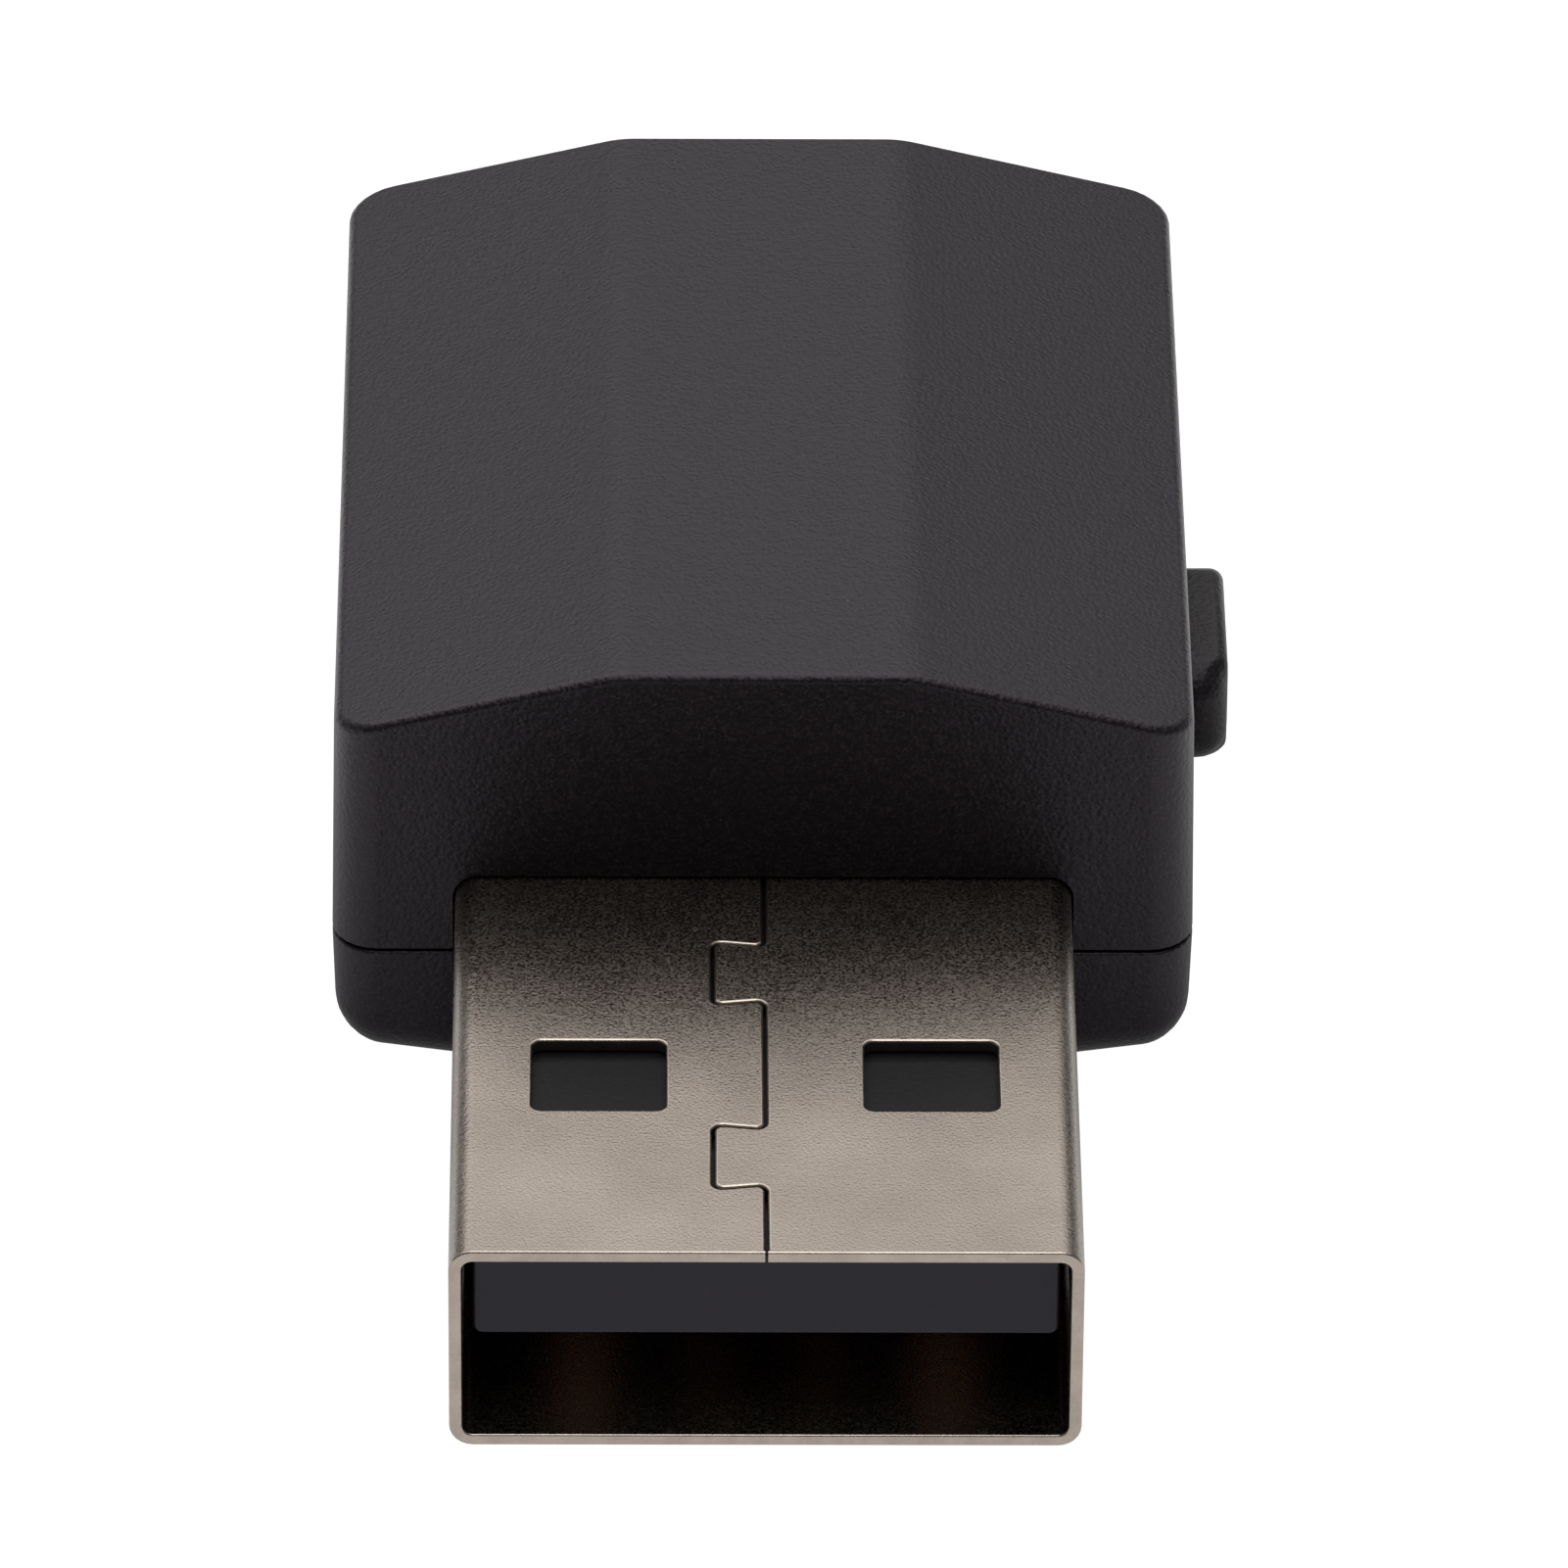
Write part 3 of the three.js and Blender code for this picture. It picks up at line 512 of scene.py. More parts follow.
def placed(name: str, data: bpy.types.ID) -> bpy.types.Object:
    """Adds an object to the scene.

    Args:
        name: Its name.
        data: The mesh, lamp or camera that it shows.

    Returns:
        The object.
    """
    item = bpy.data.objects.new(name, data)
    bpy.context.scene.collection.objects.link(item)
    return item


class Solid:
    """A closed mesh on the bench, in millimetres."""

    def __init__(self, mesh: bpy.types.Mesh) -> None:
        """Puts the mesh on the bench."""
        self.object = placed("bench", mesh)

    @classmethod
    def from_faces(cls, work: bmesh.types.BMesh) -> Solid:
        """Turns finished faces into a solid.

        Args:
            work: The faces, which are used up.

        Returns:
            The solid.
        """
        bmesh.ops.remove_doubles(work, verts=work.verts, dist=FINE_WELD)
        bmesh.ops.recalc_face_normals(work, faces=work.faces)
        mesh = bpy.data.meshes.new("bench")
        work.to_mesh(mesh)
        work.free()
        return cls(mesh)

    @classmethod
    def from_rings(cls, rings: Sequence[Sequence[Vector]], ends: str = "strips") -> Solid:
        """Skins a pile of rings that all have the same number of points.

        Args:
            rings: The rings, in order.
            ends: "strips" for ends in strips between mirrored points, "flat" for one face each,
                or "none" for a last ring that joins the first.

        Returns:
            The solid.
        """
        work = bmesh.new()
        grid = [[work.verts.new(point) for point in ring] for ring in rings]
        count = len(grid[0])
        following = grid[1:] + (grid[:1] if ends == "none" else [])
        for low, high in zip(grid, following):
            for here in range(count):
                ahead = (here + 1) % count
                work.faces.new((low[here], low[ahead], high[ahead], high[here]))
        if ends == "flat":
            work.faces.new(grid[-1])
            work.faces.new(grid[0][::-1])
        if ends == "strips":
            for here in range(count // 2 - 1):
                corners = (here, here + 1, count - 2 - here, count - 1 - here)
                work.faces.new([grid[-1][corner] for corner in corners])
                work.faces.new([grid[0][corner] for corner in reversed(corners)])
        return cls.from_faces(work)

    @classmethod
    def sweep(cls, section: Sequence[Spot], axis: Axis, start: float, end: float,
              radius: float = 0.0, both: bool = False) -> Solid:
        """Sweeps a section along an axis, with rounded end edges.

        Args:
            section: The section.
            axis: The way.
            start: The length at which it starts.
            end: The length at which it ends.
            radius: The rounding of its far edge.
            both: Whether its near edge is rounded too.

        Returns:
            The solid.
        """
        edge = rounding(radius) if radius else [(0.0, 0.0)]
        near = [(inset, start + drop) for inset, drop in reversed(edge)] if both else [(0.0, start)]
        far = [(inset, end - drop) for inset, drop in edge]
        return cls.from_rings([axis.ring(section, *step) for step in near + far])

    @classmethod
    def plate(cls, outline: Sequence[tuple[float, float]], axis: Axis, start: float, end: float) -> Solid:
        """Sweeps any outline, drawn counter-clockwise, along an axis."""
        rings = [[axis.point(u, v, length) for u, v in outline] for length in (start, end)]
        return cls.from_rings(rings, "flat")

    @classmethod
    def block(cls, low: Sequence[float], high: Sequence[float]) -> Solid:
        """A block between two corners."""
        outline = [(low[0], low[1]), (high[0], low[1]), (high[0], high[1]), (low[0], high[1])]
        return cls.plate(outline, Axis.UP, low[2], high[2])

    @classmethod
    def pin(cls, x: float, y: float, radius: float, low: float, high: float, sides: int = 32) -> Solid:
        """An upright pin whose round side is made of flats."""
        turns = (4 * RIGHT_ANGLE * index / sides for index in range(sides))
        return cls.plate(
            [(x + radius * math.cos(a), y + radius * math.sin(a)) for a in turns], Axis.UP, low, high)

    @classmethod
    def copy_of(cls, node: str) -> Solid:
        """A copy of a CAD node with its flat faces whole again.

        Args:
            node: The node's name.

        Returns:
            The solid.
        """
        work = bmesh.new()
        work.from_mesh(bpy.data.objects[node].data)
        work.transform(Matrix.Scale(1 / MM, 4))
        bmesh.ops.remove_doubles(work, verts=work.verts, dist=WELD)
        bmesh.ops.dissolve_limit(
            work, angle_limit=math.radians(1), verts=work.verts, edges=work.edges, delimit={"NORMAL"})
        return cls.from_faces(work)

    def act(self, how: Boolean, *tools: Solid) -> Solid:
        """Cuts, joins or keeps by other solids, which are used up.

        Args:
            how: What the tools do.
            *tools: The tools, in order.

        Returns:
            This solid.
        """
        for tool in tools:
            step = self.object.modifiers.new("step", "BOOLEAN")
            step.operation, step.solver, step.object = how.value, "EXACT", tool.object
        self._bake_modifiers()
        for tool in tools:
            tool.discard()
        return self

    def _merge_flats(self) -> None:
        """Makes neighbouring faces in one plane one face, so that they shade as one."""
        work = bmesh.new()
        work.from_mesh(self.object.data)
        bmesh.ops.dissolve_limit(work, angle_limit=math.radians(0.1), verts=work.verts, edges=work.edges)
        work.to_mesh(self.object.data)
        work.free()

    def _bake_modifiers(self) -> None:
        """Makes what the modifiers show the solid's own mesh."""
        graph = bpy.context.evaluated_depsgraph_get()
        shaped = bpy.data.meshes.new_from_object(self.object.evaluated_get(graph), depsgraph=graph)
        self.object.modifiers.clear()
        old, self.object.data = self.object.data, shaped
        bpy.data.meshes.remove(old)

    def discard(self) -> None:
        """Clears the solid from the bench."""
        mesh = self.object.data
        bpy.data.objects.remove(self.object)
        bpy.data.meshes.remove(mesh)

    def soften(self, width: float, chosen: Callable[[Vector], bool] = lambda middle: True,
               least: float = 40.0, segments: int = 2, clamp: bool = True) -> Solid:
        """Rounds sharp edges.

        Args:
            width: How wide the rounding is.
            chosen: Says of an edge's middle whether it is rounded.
            least: The angle between its faces from which an edge is sharp, in degrees.
            segments: How many steps the rounding has.
            clamp: Whether the rounding narrows where edges are short.

        Returns:
            This solid.
        """
        work = bmesh.new()
        work.from_mesh(self.object.data)
        bmesh.ops.remove_doubles(work, verts=work.verts, dist=WELD)
        sharp = [
            edge for edge in work.edges
            if len(edge.link_faces) == 2 and edge.calc_face_angle(0.0) > math.radians(least)
            and chosen((edge.verts[0].co + edge.verts[1].co) / 2)]
        bmesh.ops.bevel(
            work, geom=sharp, offset=width, offset_type="OFFSET", segments=segments, profile=0.5,
            affect="EDGES", clamp_overlap=clamp)
        work.to_mesh(self.object.data)
        work.free()
        return self

    def deliver(self, name: str, body: str, finish: Finish, *nodes: str, smooth: float = 32.0,
                second: Finish | None = None,
                where: Callable[[Vector, Vector], bool] = lambda middle, normal: False) -> None:
        """Finishes the piece and hands it to the frame.

        Args:
            name: The piece's name.
            body: The body it rides on.
            finish: Its finish.
            *nodes: The CAD nodes it stands for.
            smooth: The angle up to which neighbouring faces shade as one, in degrees.
            second: The finish of some of its faces, if they differ.
            where: Says of a face's middle and normal whether it has that second finish.
        """
        self._merge_flats()
        piece = self.object
        piece.name = piece.data.name = name
        marked = [bool(second) and where(face.center, face.normal) for face in piece.data.polygons]
        piece.data.transform(Matrix.Scale(MM, 4))
        piece.data.shade_smooth()
        piece.data.set_sharp_from_angle(angle=math.radians(smooth))
        piece.data.materials.clear()
        for used in filter(None, (finish, second)):
            piece.data.materials.append(used.make())
        for face, mark in zip(piece.data.polygons, marked):
            face.material_index = int(mark)
        even = piece.modifiers.new("even_shading", "WEIGHTED_NORMAL")
        even.keep_sharp, even.weight, even.mode = True, 100, "FACE_AREA"
        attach(piece, body)
        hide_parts(*nodes)
        log.info("%s: %d faces, on %s, %s", name, len(piece.data.polygons), body, finish.name)


@dataclass(frozen=True)
class Room:
    """The box that a CAD node takes, in millimetres."""

    low: Vector
    high: Vector

    @classmethod
    def of(cls, node: str) -> Room:
        """The box of a node."""
        low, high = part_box(node)
        return cls(low / MM, high / MM)

    @property
    def middle(self) -> Vector:
        """The middle of the box."""
        return (self.low + self.high) / 2


# ---------------------------------------------------------------- housing


@dataclass(frozen=True)
class Facets:
    """A face in three facets along the body: a flat strip and a slope on each side."""

    flat: float
    slope: float
    crease: float = 2.5

    def _turn(self) -> tuple[float, float]:
        """Where the crease between flat and slope starts and ends."""
        reach = self.crease * math.tan(self.slope / 2)
        return self.flat - reach, self.flat + reach * math.cos(self.slope)

    def drop(self, x: float) -> float:
        """How far the face has fallen from its flat strip at a distance from the middle.

        Args:
            x: The distance.

        Returns:
            The fall.
        """
        start, end = self._turn()
        across = abs(x)
        if across <= start:
            return 0.0
        if across >= end:
            return math.tan(self.slope) * (across - self.flat)
        return self.crease - math.sqrt(self.crease**2 - (across - start) ** 2)

    def stations(self, steps: int = 6) -> list[float]:
        """Where a section needs points to follow the creases, from the left.

        Args:
            steps: The steps of each crease.

        Returns:
            The places across the body.
        """
        start, end = self._turn()
        right = [start + (end - start) * index / steps for index in range(steps + 1)]
        return [-x for x in reversed(right)] + right

    def inside(self, wall: float) -> Facets:
        """The same facets, a wall further in."""
        return Facets(self.flat - wall * math.tan(self.slope / 2), self.slope, self.crease)


@dataclass(frozen=True)
class Half:
    """One half of the body: its facets, which way they look, its width there, its wall and its edge."""

    facets: Facets
    up: int
    half_width: float
    face_wall: float
    edge: float
    edge_steps: int


@dataclass
class Housing:
    """The two moulded shells that meet at the parting plane."""

    upper: Half = Half(
        Facets(2.85, math.radians(14.0)), up=1, half_width=8.35, face_wall=1.0, edge=0.18, edge_steps=8)
    lower: Half = Half(
        Facets(2.65, math.radians(8.3)), up=-1, half_width=8.38, face_wall=0.8, edge=1.05, edge_steps=10)
    corner: float = 0.9
    least_corner: float = 0.1
    seam_edge: float = 0.06
    seam_gap: float = 0.025
    wall: float = 1.0
    inner_edge: float = 0.2
    lip_height: float = 0.5
    lip_thickness: float = 0.4
    fit: float = 0.05
    slide: float = 0.1
    rib: float = 0.6
    cradle: float = 0.8
    post: float = 0.6
    post_shoulder: float = 0.95
    posts: tuple[tuple[float, float], ...] = ((-6.0, 4.6), (5.6, 5.2))
    rib_offset: float = 4.5
    hold_down: float = 1.0
    hold_down_x: float = 6.2
    opening_edge: float = 0.05
    spare: float = 1.0

    def __post_init__(self) -> None:
        """Reads the places that the frame gives."""
        upper, lower = Room.of("upper_shell"), Room.of("lower_shell")
        self.half_length = upper.high.y
        self.half_width = lower.high.x
        self.height = upper.high.z
        self.parting = lower.high.z - self.lip_height

    def _ring(self, half_width: float, inset: float, lift: Callable[[float], float],
              stations: Sequence[float]) -> list[Vector]:
        """One ring of the plan outline, lifted by a height that may vary across the body."""
        section = rounded(half_width - inset, self.half_length - inset,
                          max(self.corner - inset, self.least_corner), stations)
        return [Vector((s.u, s.v, lift(s.u))) for s in section]

    def _skin(self, half: Half, share: float, edge: float, level: float, seam: float, steps: int) -> Solid:
        """One half of the body as a solid.

        Args:
            half: The half.
            share: How far it is moved in, as a share of its walls.
            edge: The rounding round its face.
            level: The height of its other end.
            seam: The rounding there.
            steps: The steps of the rounding round its face.

        Returns:
            The solid.
        """
        wall, face_wall = self.wall * share, half.face_wall * share
        facets = half.facets.inside(face_wall)
        stations = facets.stations()
        face = (self.height if half.up > 0 else 0.0) - half.up * face_wall
        rings = [
            self._ring(self.half_width, wall + inset, lambda x, drop=drop: level + half.up * drop, stations)
            for inset, drop in (reversed(rounding(seam)) if seam else [(0.0, 0.0)])]
        rings += [
            self._ring(half.half_width, wall + inset,
                       lambda x, drop=drop: face - half.up * facets.drop(x) - half.up * drop, stations)
            for inset, drop in rounding(edge, steps)]
        return Solid.from_rings(rings[::half.up])

    def outside(self, half: Half) -> Solid:
        """The outside of one half."""
        level = self.parting + half.up * self.seam_gap
        return self._skin(half, 0.0, half.edge, level, self.seam_edge, half.edge_steps)

    def inside(self, half: Half, level: float, share: float = 1.0) -> Solid:
        """The inside of one half as far as a level, or the middle of its walls for a share of a half."""
        return self._skin(half, share, self.inner_edge, level, seam=0.0, steps=2)

    def column(self, wall: float, low: float, high: float) -> Solid:
        """The plan outline as a column, moved in by a wall."""
        section = rounded(self.half_width - wall, self.half_length - wall,
                          max(self.corner - wall, 2 * self.least_corner))
        return Solid.sweep(section, Axis.UP, low, high)

    def plug_room(self, plug: Plug) -> Solid:
        """The room that the plug takes in the shells."""
        section = moved(
            rounded(plug.half_width + self.fit, plug.half_height + self.fit, plug.corner + self.fit),
            0.0, plug.axis_height)
        return Solid.sweep(section, Axis.FORWARD, -plug.rear - self.fit, self.half_length + self.spare)

    def cradle_rib(self, plug: Plug, low: float, high: float) -> Solid:
        """The rib that holds the plug at its rear."""
        half, rear = self.half_width - self.wall / 2, plug.rear - self.inner_edge
        return Solid.block((-half, rear - self.cradle, low), (half, rear, high))

    def _at_opening(self, middle: Vector) -> bool:
        """Whether an edge lies on the rim of the plug's opening, clear of the seam."""
        clear = abs(middle.z - self.parting) > 2 * self.seam_gap
        return (clear and abs(middle.y + self.half_length) < NEAR
                and abs(middle.x) < self.half_width - 2 * self.wall
                and middle.z < self.height - 3 * self.wall)

    def build_upper(self, plug: Plug, button: Button) -> None:
        """Makes the upper shell.

        Args:
            plug: The plug that it holds down.
            button: The button that comes through its side.
        """
        board, lip_top = Room.of("circuit_board"), self.parting + self.lip_height
        shell = self.outside(self.upper)
        recess = self.column(
            self.wall - self.lip_thickness - self.fit, self.parting - self.spare, lip_top + self.fit)
        shell.act(Boolean.CUT, self.inside(self.upper, self.parting - self.spare), recess)
        rib = self.cradle_rib(plug, lip_top + self.fit, self.height)
        half, rear = self.hold_down / 2, board.high.y - self.hold_down
        supports = [Solid.block((x - half, rear - half, board.high.z + self.fit),
                                (x + half, rear + half, self.height))
                    for x in (-self.hold_down_x, self.hold_down_x)]
        rib.act(Boolean.JOIN, *supports)
        rib.act(Boolean.KEEP, self.inside(self.upper, board.high.z - self.spare, share=0.5))
        shell.act(Boolean.JOIN, rib).act(Boolean.CUT, self.plug_room(plug), *button.room(self))
        shell.soften(self.opening_edge, self._at_opening)
        shell.deliver("upper_cover", "housing", BLACK_PLASTIC, "upper_shell")

    def build_lower(self, plug: Plug, button: Button) -> None:
        """Makes the lower shell with its lip, ribs and posts.

        Args:
            plug: The plug that it carries.
            button: The button that comes through its side.
        """
        board, lip_top = Room.of("circuit_board"), self.parting + self.lip_height
        shell = self.outside(self.lower)
        shell.act(Boolean.CUT, self.inside(self.lower, self.parting + self.spare))
        lip = self.column(self.wall - self.lip_thickness, self.parting - self.spare, lip_top)
        lip.act(Boolean.CUT, self.column(self.wall, self.parting - 2 * self.spare,
                                         self.parting + 2 * self.lip_height))
        lip.soften(self.opening_edge, lambda middle: middle.z > lip_top - NEAR)
        ribs = [Solid.block((x - self.rib / 2, plug.rear + self.spare, 0.0),
                            (x + self.rib / 2, board.high.y - self.spare, board.low.z))
                for x in (-self.rib_offset, self.rib_offset)]
        for x, y in self.posts:
            ribs.append(Solid.pin(x, y, self.post_shoulder, 0.0, board.low.z))
            ribs.append(Solid.pin(x, y, self.post, 0.0, board.high.z + self.fit))
        inside = self.cradle_rib(plug, 0.0, self.parting).act(Boolean.JOIN, *ribs)
        inside.act(Boolean.KEEP, self.inside(self.lower, self.parting + self.spare, share=0.5))
        shell.act(Boolean.JOIN, lip, inside)
        shell.act(Boolean.CUT, self.plug_room(plug), *button.room(self))
        shell.soften(self.opening_edge, self._at_opening)
        shell.deliver("lower_cover", "housing", BLACK_PLASTIC, "lower_shell")


# ---------------------------------------------------------------- button


@dataclass
class Button:
    """The side button: a head that stands out of the wall on a flange that can't fall out."""

    half_length: float = 2.275
    half_height: float = 1.15
    corner: float = 0.8
    front_rounding: float = 0.65
    rear_rounding: float = 0.28
    flange: float = 0.5
    flange_lip: float = 0.45
    flange_edge: float = 0.06
    travel: float = 0.3
    front_reach: float = 1.8
    steps: int = 7

    def __post_init__(self) -> None:
        """Reads the places that the frame gives."""
        room = Room.of("pairing_button")
        self.back, self.face = room.low.x, room.high.x
        self.y, self.z = room.middle.y, room.middle.z

    def section(self, gap: float) -> list[Spot]:
        """The head's outline from the side, made larger by a gap."""
        outline = rounded(self.half_length + gap, self.half_height + gap, self.corner + gap, (), self.steps)
        return moved(outline, self.y, self.z)

    def room(self, housing: Housing) -> tuple[Solid, Solid]:
        """The hole in the side and the room behind it that the button needs, travel included."""
        behind = self.back - self.travel - housing.slide
        return (Solid.sweep(self.section(housing.slide), Axis.RIGHT, self.back, self.face + housing.spare),
                Solid.sweep(self.section(self.flange_lip + housing.slide), Axis.RIGHT, behind,
                            self.back + self.flange + housing.fit))

    def build(self) -> None:
        """Makes the button, rounded most at its front."""
        def ring(share_in: float, share_down: float) -> list[Vector]:
            """A ring of the rounding, by shares of its radius, which grows towards the front.

            Args:
                share_in: How far in the ring is.
                share_down: How far down it is.

            Returns:
                The ring.
            """
            points = []
            for spot in self.section(0.0):
                ahead = min(1.0, max(0.0, -self.front_reach * spot.nu))
                radius = self.rear_rounding + (self.front_rounding - self.rear_rounding) * ahead
                points.append(Axis.RIGHT.point(
                    spot.u - spot.nu * radius * share_in, spot.v - spot.nv * radius * share_in,
                    self.face - radius * share_down))
            return points

        start = Axis.RIGHT.ring(self.section(0.0), 0.0, self.back)
        head = Solid.from_rings([start] + [ring(*shares) for shares in rounding(1.0, self.steps)])
        flange = Solid.sweep(self.section(self.flange_lip), Axis.RIGHT, self.back,
                             self.back + self.flange, self.flange_edge, both=True)
        head.act(Boolean.JOIN, flange)
        head.deliver("side_button", "button", BUTTON_PLASTIC, "pairing_button")


# ---------------------------------------------------------------- plug


@dataclass
class Plug:
    """The USB-A plug: a rolled steel shell round a tongue that carries four contacts."""

    half_width: float = 6.0
    half_height: float = 2.25
    corner: float = 0.45
    wall: float = 0.25
    tip_edge: float = 0.045
    window_half_width: float = 1.28
    window_length: float = 2.34
    window_offset: float = 3.18
    window_corner: float = 0.2
    window_from_tip: float = 4.68
    window_edge: float = 0.10
    seam_gap: float = 0.06
    seam_edge: float = 0.055
    tab_reach: float = 1.0
    tab_root: float = 1.84
    tab_head: float = 2.13
    tab_corner: float = 0.18
    tab_steps: int = 5
    tabs_from_tip: tuple[float, float] = (3.15, 9.3)
    leg_length: float = 2.1
    leg_below: float = 0.15
    leg_above: float = 1.2
    tongue_half_width: float = 5.55
    tongue_thickness: float = 1.88
    tongue_recess: float = 0.4
    tongue_edge: float = 0.08
    mating_depth: float = 9.9
    contact_thickness: float = 0.25
    contact_half_width: float = 0.5
    contact_proud: float = 0.05
    contact_edge: float = 0.04
    tail_slope: float = 0.4
    tail_foot: float = 0.9
    facing_up: float = 0.9
    not_flat: float = 0.99
    fit: float = 0.05
    spare: float = 1.0

    def __post_init__(self) -> None:
        """Reads the places that the frame gives."""
        shell = Room.of("plug_shell")
        self.tip = shell.low.y
        self.top = shell.high.z
        self.axis_height = self.top - self.half_height
        self.rear = Room.of("plug_insulator").high.y
        self.tongue_top = self.top - self.wall - self.fit
        self.tongue_bottom = self.tongue_top - self.tongue_thickness

    def _bore(self, gap: float) -> list[Spot]:
        """The shell's inside outline, made smaller by a gap."""
        half_u, half_v = (half - self.wall - gap for half in (self.half_width, self.half_height))
        return moved(rounded(half_u, half_v, self.corner - self.wall), 0.0, self.axis_height)

    def _tube(self) -> Solid:
        """The rolled tube with its tip edges rounded.

        Returns:
            The solid.
        """
        outside = moved(rounded(self.half_width, self.half_height, self.corner), 0.0, self.axis_height)
        inside, edge = self._bore(0.0), rounding(self.tip_edge)
        outward = [(0.0, -self.rear)] + [(inset, -self.tip - drop) for inset, drop in edge]
        inward = [(-inset, length) for inset, length in reversed(outward)]
        return Solid.from_rings(
            [Axis.FORWARD.ring(outside, *step) for step in outward]
            + [Axis.FORWARD.ring(inside, *step) for step in inward], "none")

    def _seam(self) -> Solid:
        """The gap that the rolled shell's two ends meet at, as a thin strip with dovetail tabs.

        Returns:
            The solid.
        """
        line = [(0.0, self.tip - self.spare), (0.0, self.tip + self.tip_edge + self.seam_edge)]
        for from_tip in self.tabs_from_tip:
            middle = self.tip + from_tip
            line += self._tab_side(middle, -1) + self._tab_side(middle, 1)
        line.append((0.0, self.rear + self.spare))
        half = self.seam_gap / 2
        right, left = [], []
        for index, here in enumerate(line):
            before, after = line[max(index - 1, 0)], line[min(index + 1, len(line) - 1)]
            way = Vector((after[0] - before[0], after[1] - before[1])).normalized()
            right.append((here[0] + way.y * half, here[1] - way.x * half))
            left.append((here[0] - way.y * half, here[1] + way.x * half))
        return Solid.plate(right + left[::-1], Axis.UP, self.axis_height, self.top + self.spare)

    def _tab_side(self, middle: float, side: int) -> list[tuple[float, float]]:
        """One side of a tab as a smooth line through its root and head corners.

        Args:
            middle: The tab's middle along the plug.
            side: -1 for the side nearer the tip, which goes out, or 1 for the one that comes back.

        Returns:
            The line's points.
        """
        root = Vector((0.0, middle + side * self.tab_root / 2))
        head = Vector((-self.tab_reach, middle + side * self.tab_head / 2))
        along = (head - root).normalized()
        points = (self._arc(root, Vector((0.0, side)), along)
                  + self._arc(head, -along, Vector((0.0, -side))))
        return points if side < 0 else points[::-1]

    def _arc(self, corner: Vector, back: Vector, ahead: Vector) -> list[tuple[float, float]]:
        """A tab's rounded corner.

        Args:
            corner: The corner before it is rounded.
            back: The direction from it to the line's last point.
            ahead: The direction from it to the line's next point.

        Returns:
            The arc's points.
        """
        radius = self.tab_corner
        half = back.angle(ahead) / 2
        reach = radius / math.tan(half)
        middle = corner + (back + ahead).normalized() * (radius / math.sin(half))
        start, end = corner + back * reach - middle, corner + ahead * reach - middle
        turn = start.angle(end)
        points = []
        for step in range(self.tab_steps + 1):
            share = step / self.tab_steps
            spot = (start * math.sin((1 - share) * turn) + end * math.sin(share * turn)) / math.sin(turn)
            points.append(tuple(middle + spot))
        return points

    def build_shell(self) -> None:
        """Makes the steel shell with its latch windows, seam and board legs."""
        shell = self._tube()
        middle = self.tip + self.window_from_tip + self.window_length / 2
        surfaces = (self.top, self.top - 2 * self.half_height)
        window = rounded(self.window_half_width, self.window_length / 2, self.window_corner)
        windows = [Solid.sweep(moved(window, x, middle), Axis.UP, surfaces[1] - self.spare,
                               surfaces[0] + self.spare)
                   for x in (-self.window_offset, self.window_offset)]
        board, sheet, leg_x = Room.of("circuit_board"), self.wall / 2, self.half_width - self.wall / 2
        legs = [Solid.block((x - sheet, self.rear - self.leg_length, board.low.z - self.leg_below),
                            (x + sheet, self.rear + self.leg_length, board.high.z + self.leg_above))
                for x in (-leg_x, leg_x)]
        shell.act(Boolean.CUT, *windows, self._seam())
        shell.act(Boolean.JOIN, *legs)

        def on_window(at: Vector) -> bool:
            """Whether an edge lies on a latch window's rim."""
            return (min(abs(at.z - z) for z in surfaces) < NEAR
                    and abs(abs(at.x) - self.window_offset) < self.window_half_width + self.fit
                    and abs(at.y - middle) < self.window_length / 2 + self.fit)

        def on_seam(at: Vector) -> bool:
            """Whether an edge lies on the seam's rim, clear of the tip."""
            return (abs(at.z - self.top) < NEAR and abs(at.x + self.tab_reach / 2) < self.tab_reach
                    and at.y > self.tip + 2 * self.tip_edge)

        def on_cut(at: Vector, normal: Vector) -> bool:
            """Whether a face is at the tip or in a cut through the sheet.

            Args:
                at: The face's middle.
                normal: The way it looks.

            Returns:
                Whether it is.
            """
            depth = min(abs(at.z - z) for z in surfaces)
            inner = abs(at.x) < self.half_width - self.corner - self.wall
            return (at.y < self.tip + self.tip_edge
                    or (abs(normal.z) < self.not_flat and inner and depth < self.wall))

        shell.soften(self.window_edge, on_window, segments=3)
        shell.soften(self.seam_edge, on_seam, segments=3, clamp=False)
        shell.deliver("plug_sleeve", "housing", NICKEL, "plug_shell", second=RAW_EDGE, where=on_cut)

    def _contact_path(self, from_tip: float, gap: float) -> list[tuple[float, float]]:
        """One contact's outline from the side, as (y, z): a blade, then a bent tail on the board.

        Args:
            from_tip: How far it starts from the tip.
            gap: How much larger it is made.

        Returns:
            The outline.
        """
        board = Room.of("circuit_board").high.z
        bottom = self.tongue_bottom - self.contact_proud - gap
        top = bottom + self.contact_thickness + 2 * gap
        front, bend = self.tip + from_tip - gap, self.rear + self.tail_slope
        foot, over = bend + self.tail_slope, self.contact_thickness / 2
        heel = foot + self.tail_foot
        low, high = board - gap, board + self.contact_thickness + gap
        return [(front, bottom), (bend, bottom), (foot, low), (heel, low), (heel, high),
                (foot + over, high), (bend + over, top), (front, top)]

    def _contact(self, x: float, from_tip: float, gap: float = 0.0) -> Solid:
        """One contact, made larger by a gap."""
        half = self.contact_half_width + gap
        return Solid.plate(self._contact_path(from_tip, gap), Axis.RIGHT, x - half, x + half)

